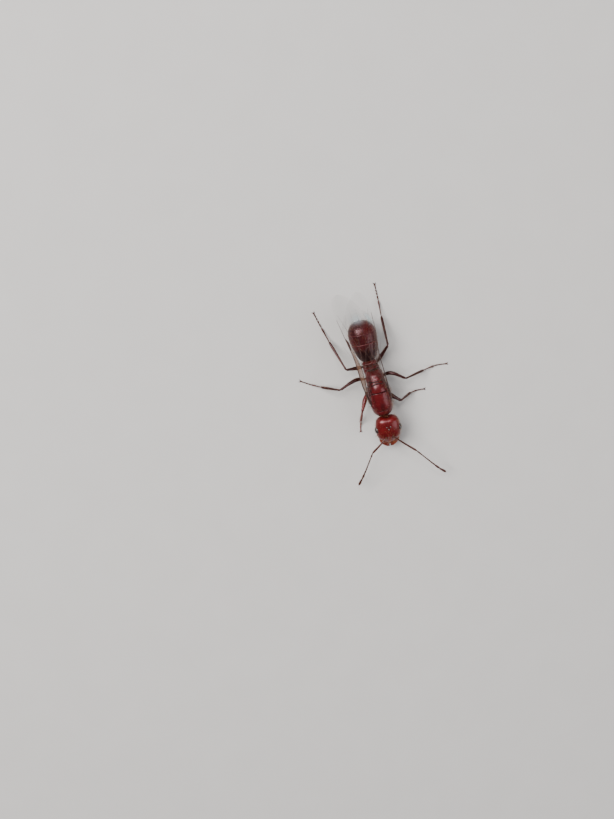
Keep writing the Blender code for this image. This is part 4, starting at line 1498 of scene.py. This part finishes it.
TRUNK_PIECES = [part + "_plates" for part in ("pronotum", "mesothorax", "metathorax", "propodeum")]
FEELER_PIECES = ["feeler_%s_%s" % (part, word) for part in ("shaft", "whip") for word in FEELERS]
bristle_coat("bristles_head", ["head_capsule"], 520, 0.17, (0, 0.15, 0.15), 11, keep_root=off_neck)
bristle_coat("bristles_jaws", ["jaw_left", "jaw_right"], 70, 0.12, (0, -0.8, 0.0), 12)
bristle_coat("bristles_trunk", TRUNK_PIECES, 620, 0.19, (0, 0.35, 0.2), 13, keep_root=upper)
bristle_coat("bristles_waist", ["petiole_node", "postpetiole_node"], 110, 0.18, (0, 0.5, 0.2), 14,
             keep_root=upper)
bristle_coat("bristles_gaster", ["gaster_ring_%d" % k for k in (1, 2, 3, 4)], 520, 0.17, (0, 0.8, 0), 15)
bristle_coat("bristles_feelers", FEELER_PIECES, 900, 0.055, (0, -0.4, 0), 16, 0.0028)
bristle_coat("bristles_thighs", ["thigh_" + name for name in LEGS], 620, 0.09, (0, 0, -0.3), 17, 0.0034)
bristle_coat("bristles_shins", ["shin_" + name for name in LEGS], 900, 0.075, (0, 0, -0.7), 18, 0.0032)
bristle_coat("bristles_feet", ["foot_" + name for name in LEGS], 800, 0.055, (0, 0, -0.15), 19, 0.0028,
             off_sole)

# %% [markdown]
# ## Floor, light and camera
# She stands on a plain pale floor under a pale sky. The main lamp is big and hangs behind her on
# her right, so that long highlights run down her back. A small lamp beside it adds a crisp spot
# to them, and a weak one in front on her left fills the shadows. The camera stands well away
# behind her tail with a long lens and looks down steeply. It is turned over and rolled a
# little, so that her head points down the frame.

# %% Floor
FLOOR_HALF = 0.6                # metres
floor_finish = Finish("studio_floor", IOR=1.4)
FLOOR = floor_finish.wear(
    Base_Color=floor_finish.blend(floor_finish.speckle(0.4), (0.50, 0.485, 0.47), (0.53, 0.515, 0.50)),
    Roughness=floor_finish.speckle(1.0) * 0.1 + 0.7,
)
floor_mesh = bpy.data.meshes.new("floor")
floor_mesh.from_pydata([(-FLOOR_HALF, -FLOOR_HALF, 0), (FLOOR_HALF, -FLOOR_HALF, 0),
                        (FLOOR_HALF, FLOOR_HALF, 0), (-FLOOR_HALF, FLOOR_HALF, 0)], [], [(0, 1, 2, 3)])
floor_mesh.materials.append(FLOOR)
floor = add_object("floor", floor_mesh)
print("floor laid,", 2 * FLOOR_HALF, "m wide")


# %% Lamps and sky
def soft_lamp(name, direction, distance, size, watts, colour):
    """A square lamp of soft light that faces the ant."""
    light = bpy.data.lights.new(name, "AREA")
    light.size = size
    light.energy = watts
    light.color = colour
    lamp = add_object(name, light)
    lamp.location = Vector(direction).normalized() * distance
    lamp.rotation_mode = "QUATERNION"
    lamp.rotation_quaternion = (-Vector(direction)).to_track_quat("-Z", "Y")
    print(name, "is", size / MM, "mm wide and hangs", round(lamp.location.z / MM), "mm up")


soft_lamp("main_lamp", (-0.62, 0.68, 1.2), 0.20, 0.11, 0.74, (1.0, 0.98, 0.96))
soft_lamp("small_lamp", (0.10, 0.74, 1.2), 0.20, 0.035, 0.10, (1.0, 0.98, 0.98))
soft_lamp("fill_lamp", (0.9, -0.5, 0.9), 0.25, 0.16, 0.30, (0.96, 0.97, 1.0))
world = bpy.data.worlds.new("pale_sky")
bpy.context.scene.world = world
world.use_nodes = True
sky = world.node_tree.nodes["Background"]
sky.inputs["Color"].default_value = (0.86, 0.88, 0.92, 1)
sky.inputs["Strength"].default_value = 0.20

# %% Camera
LOOK_DOWN = math.radians(72)    # below the horizon
CAMERA_ROLL = math.radians(15.3)
CAMERA_DISTANCE = 100.0         # this and the next three in mm
FRAME_HEIGHT = 50.04
LOOK_AT = Vector((0, 0, 1.75))
OFF_CENTRE = Vector((4.277, 1.130))
SENSOR = 36.0

ahead = Vector((0, -math.cos(LOOK_DOWN), -math.sin(LOOK_DOWN)))
level_right = Vector((1, 0, 0))
level_up = level_right.cross(ahead)
right = math.cos(CAMERA_ROLL) * level_right - math.sin(CAMERA_ROLL) * level_up
upward = math.sin(CAMERA_ROLL) * level_right + math.cos(CAMERA_ROLL) * level_up
aim = LOOK_AT - OFF_CENTRE.x * right - OFF_CENTRE.y * upward
spot = place(*(aim - ahead * CAMERA_DISTANCE))
lens = bpy.data.cameras.new("camera")
lens.sensor_fit = "VERTICAL"
lens.sensor_height = SENSOR
lens.lens = SENSOR * CAMERA_DISTANCE / FRAME_HEIGHT
lens.clip_start = 0.001
lens.clip_end = 10.0
camera = add_object("camera", lens)
turn = Matrix((right, upward, -ahead)).transposed()
camera.matrix_world = Matrix.Translation(spot) @ turn.to_4x4()
bpy.context.scene.camera = camera
print("camera stands", round(spot.z / MM, 1), "mm above the floor")
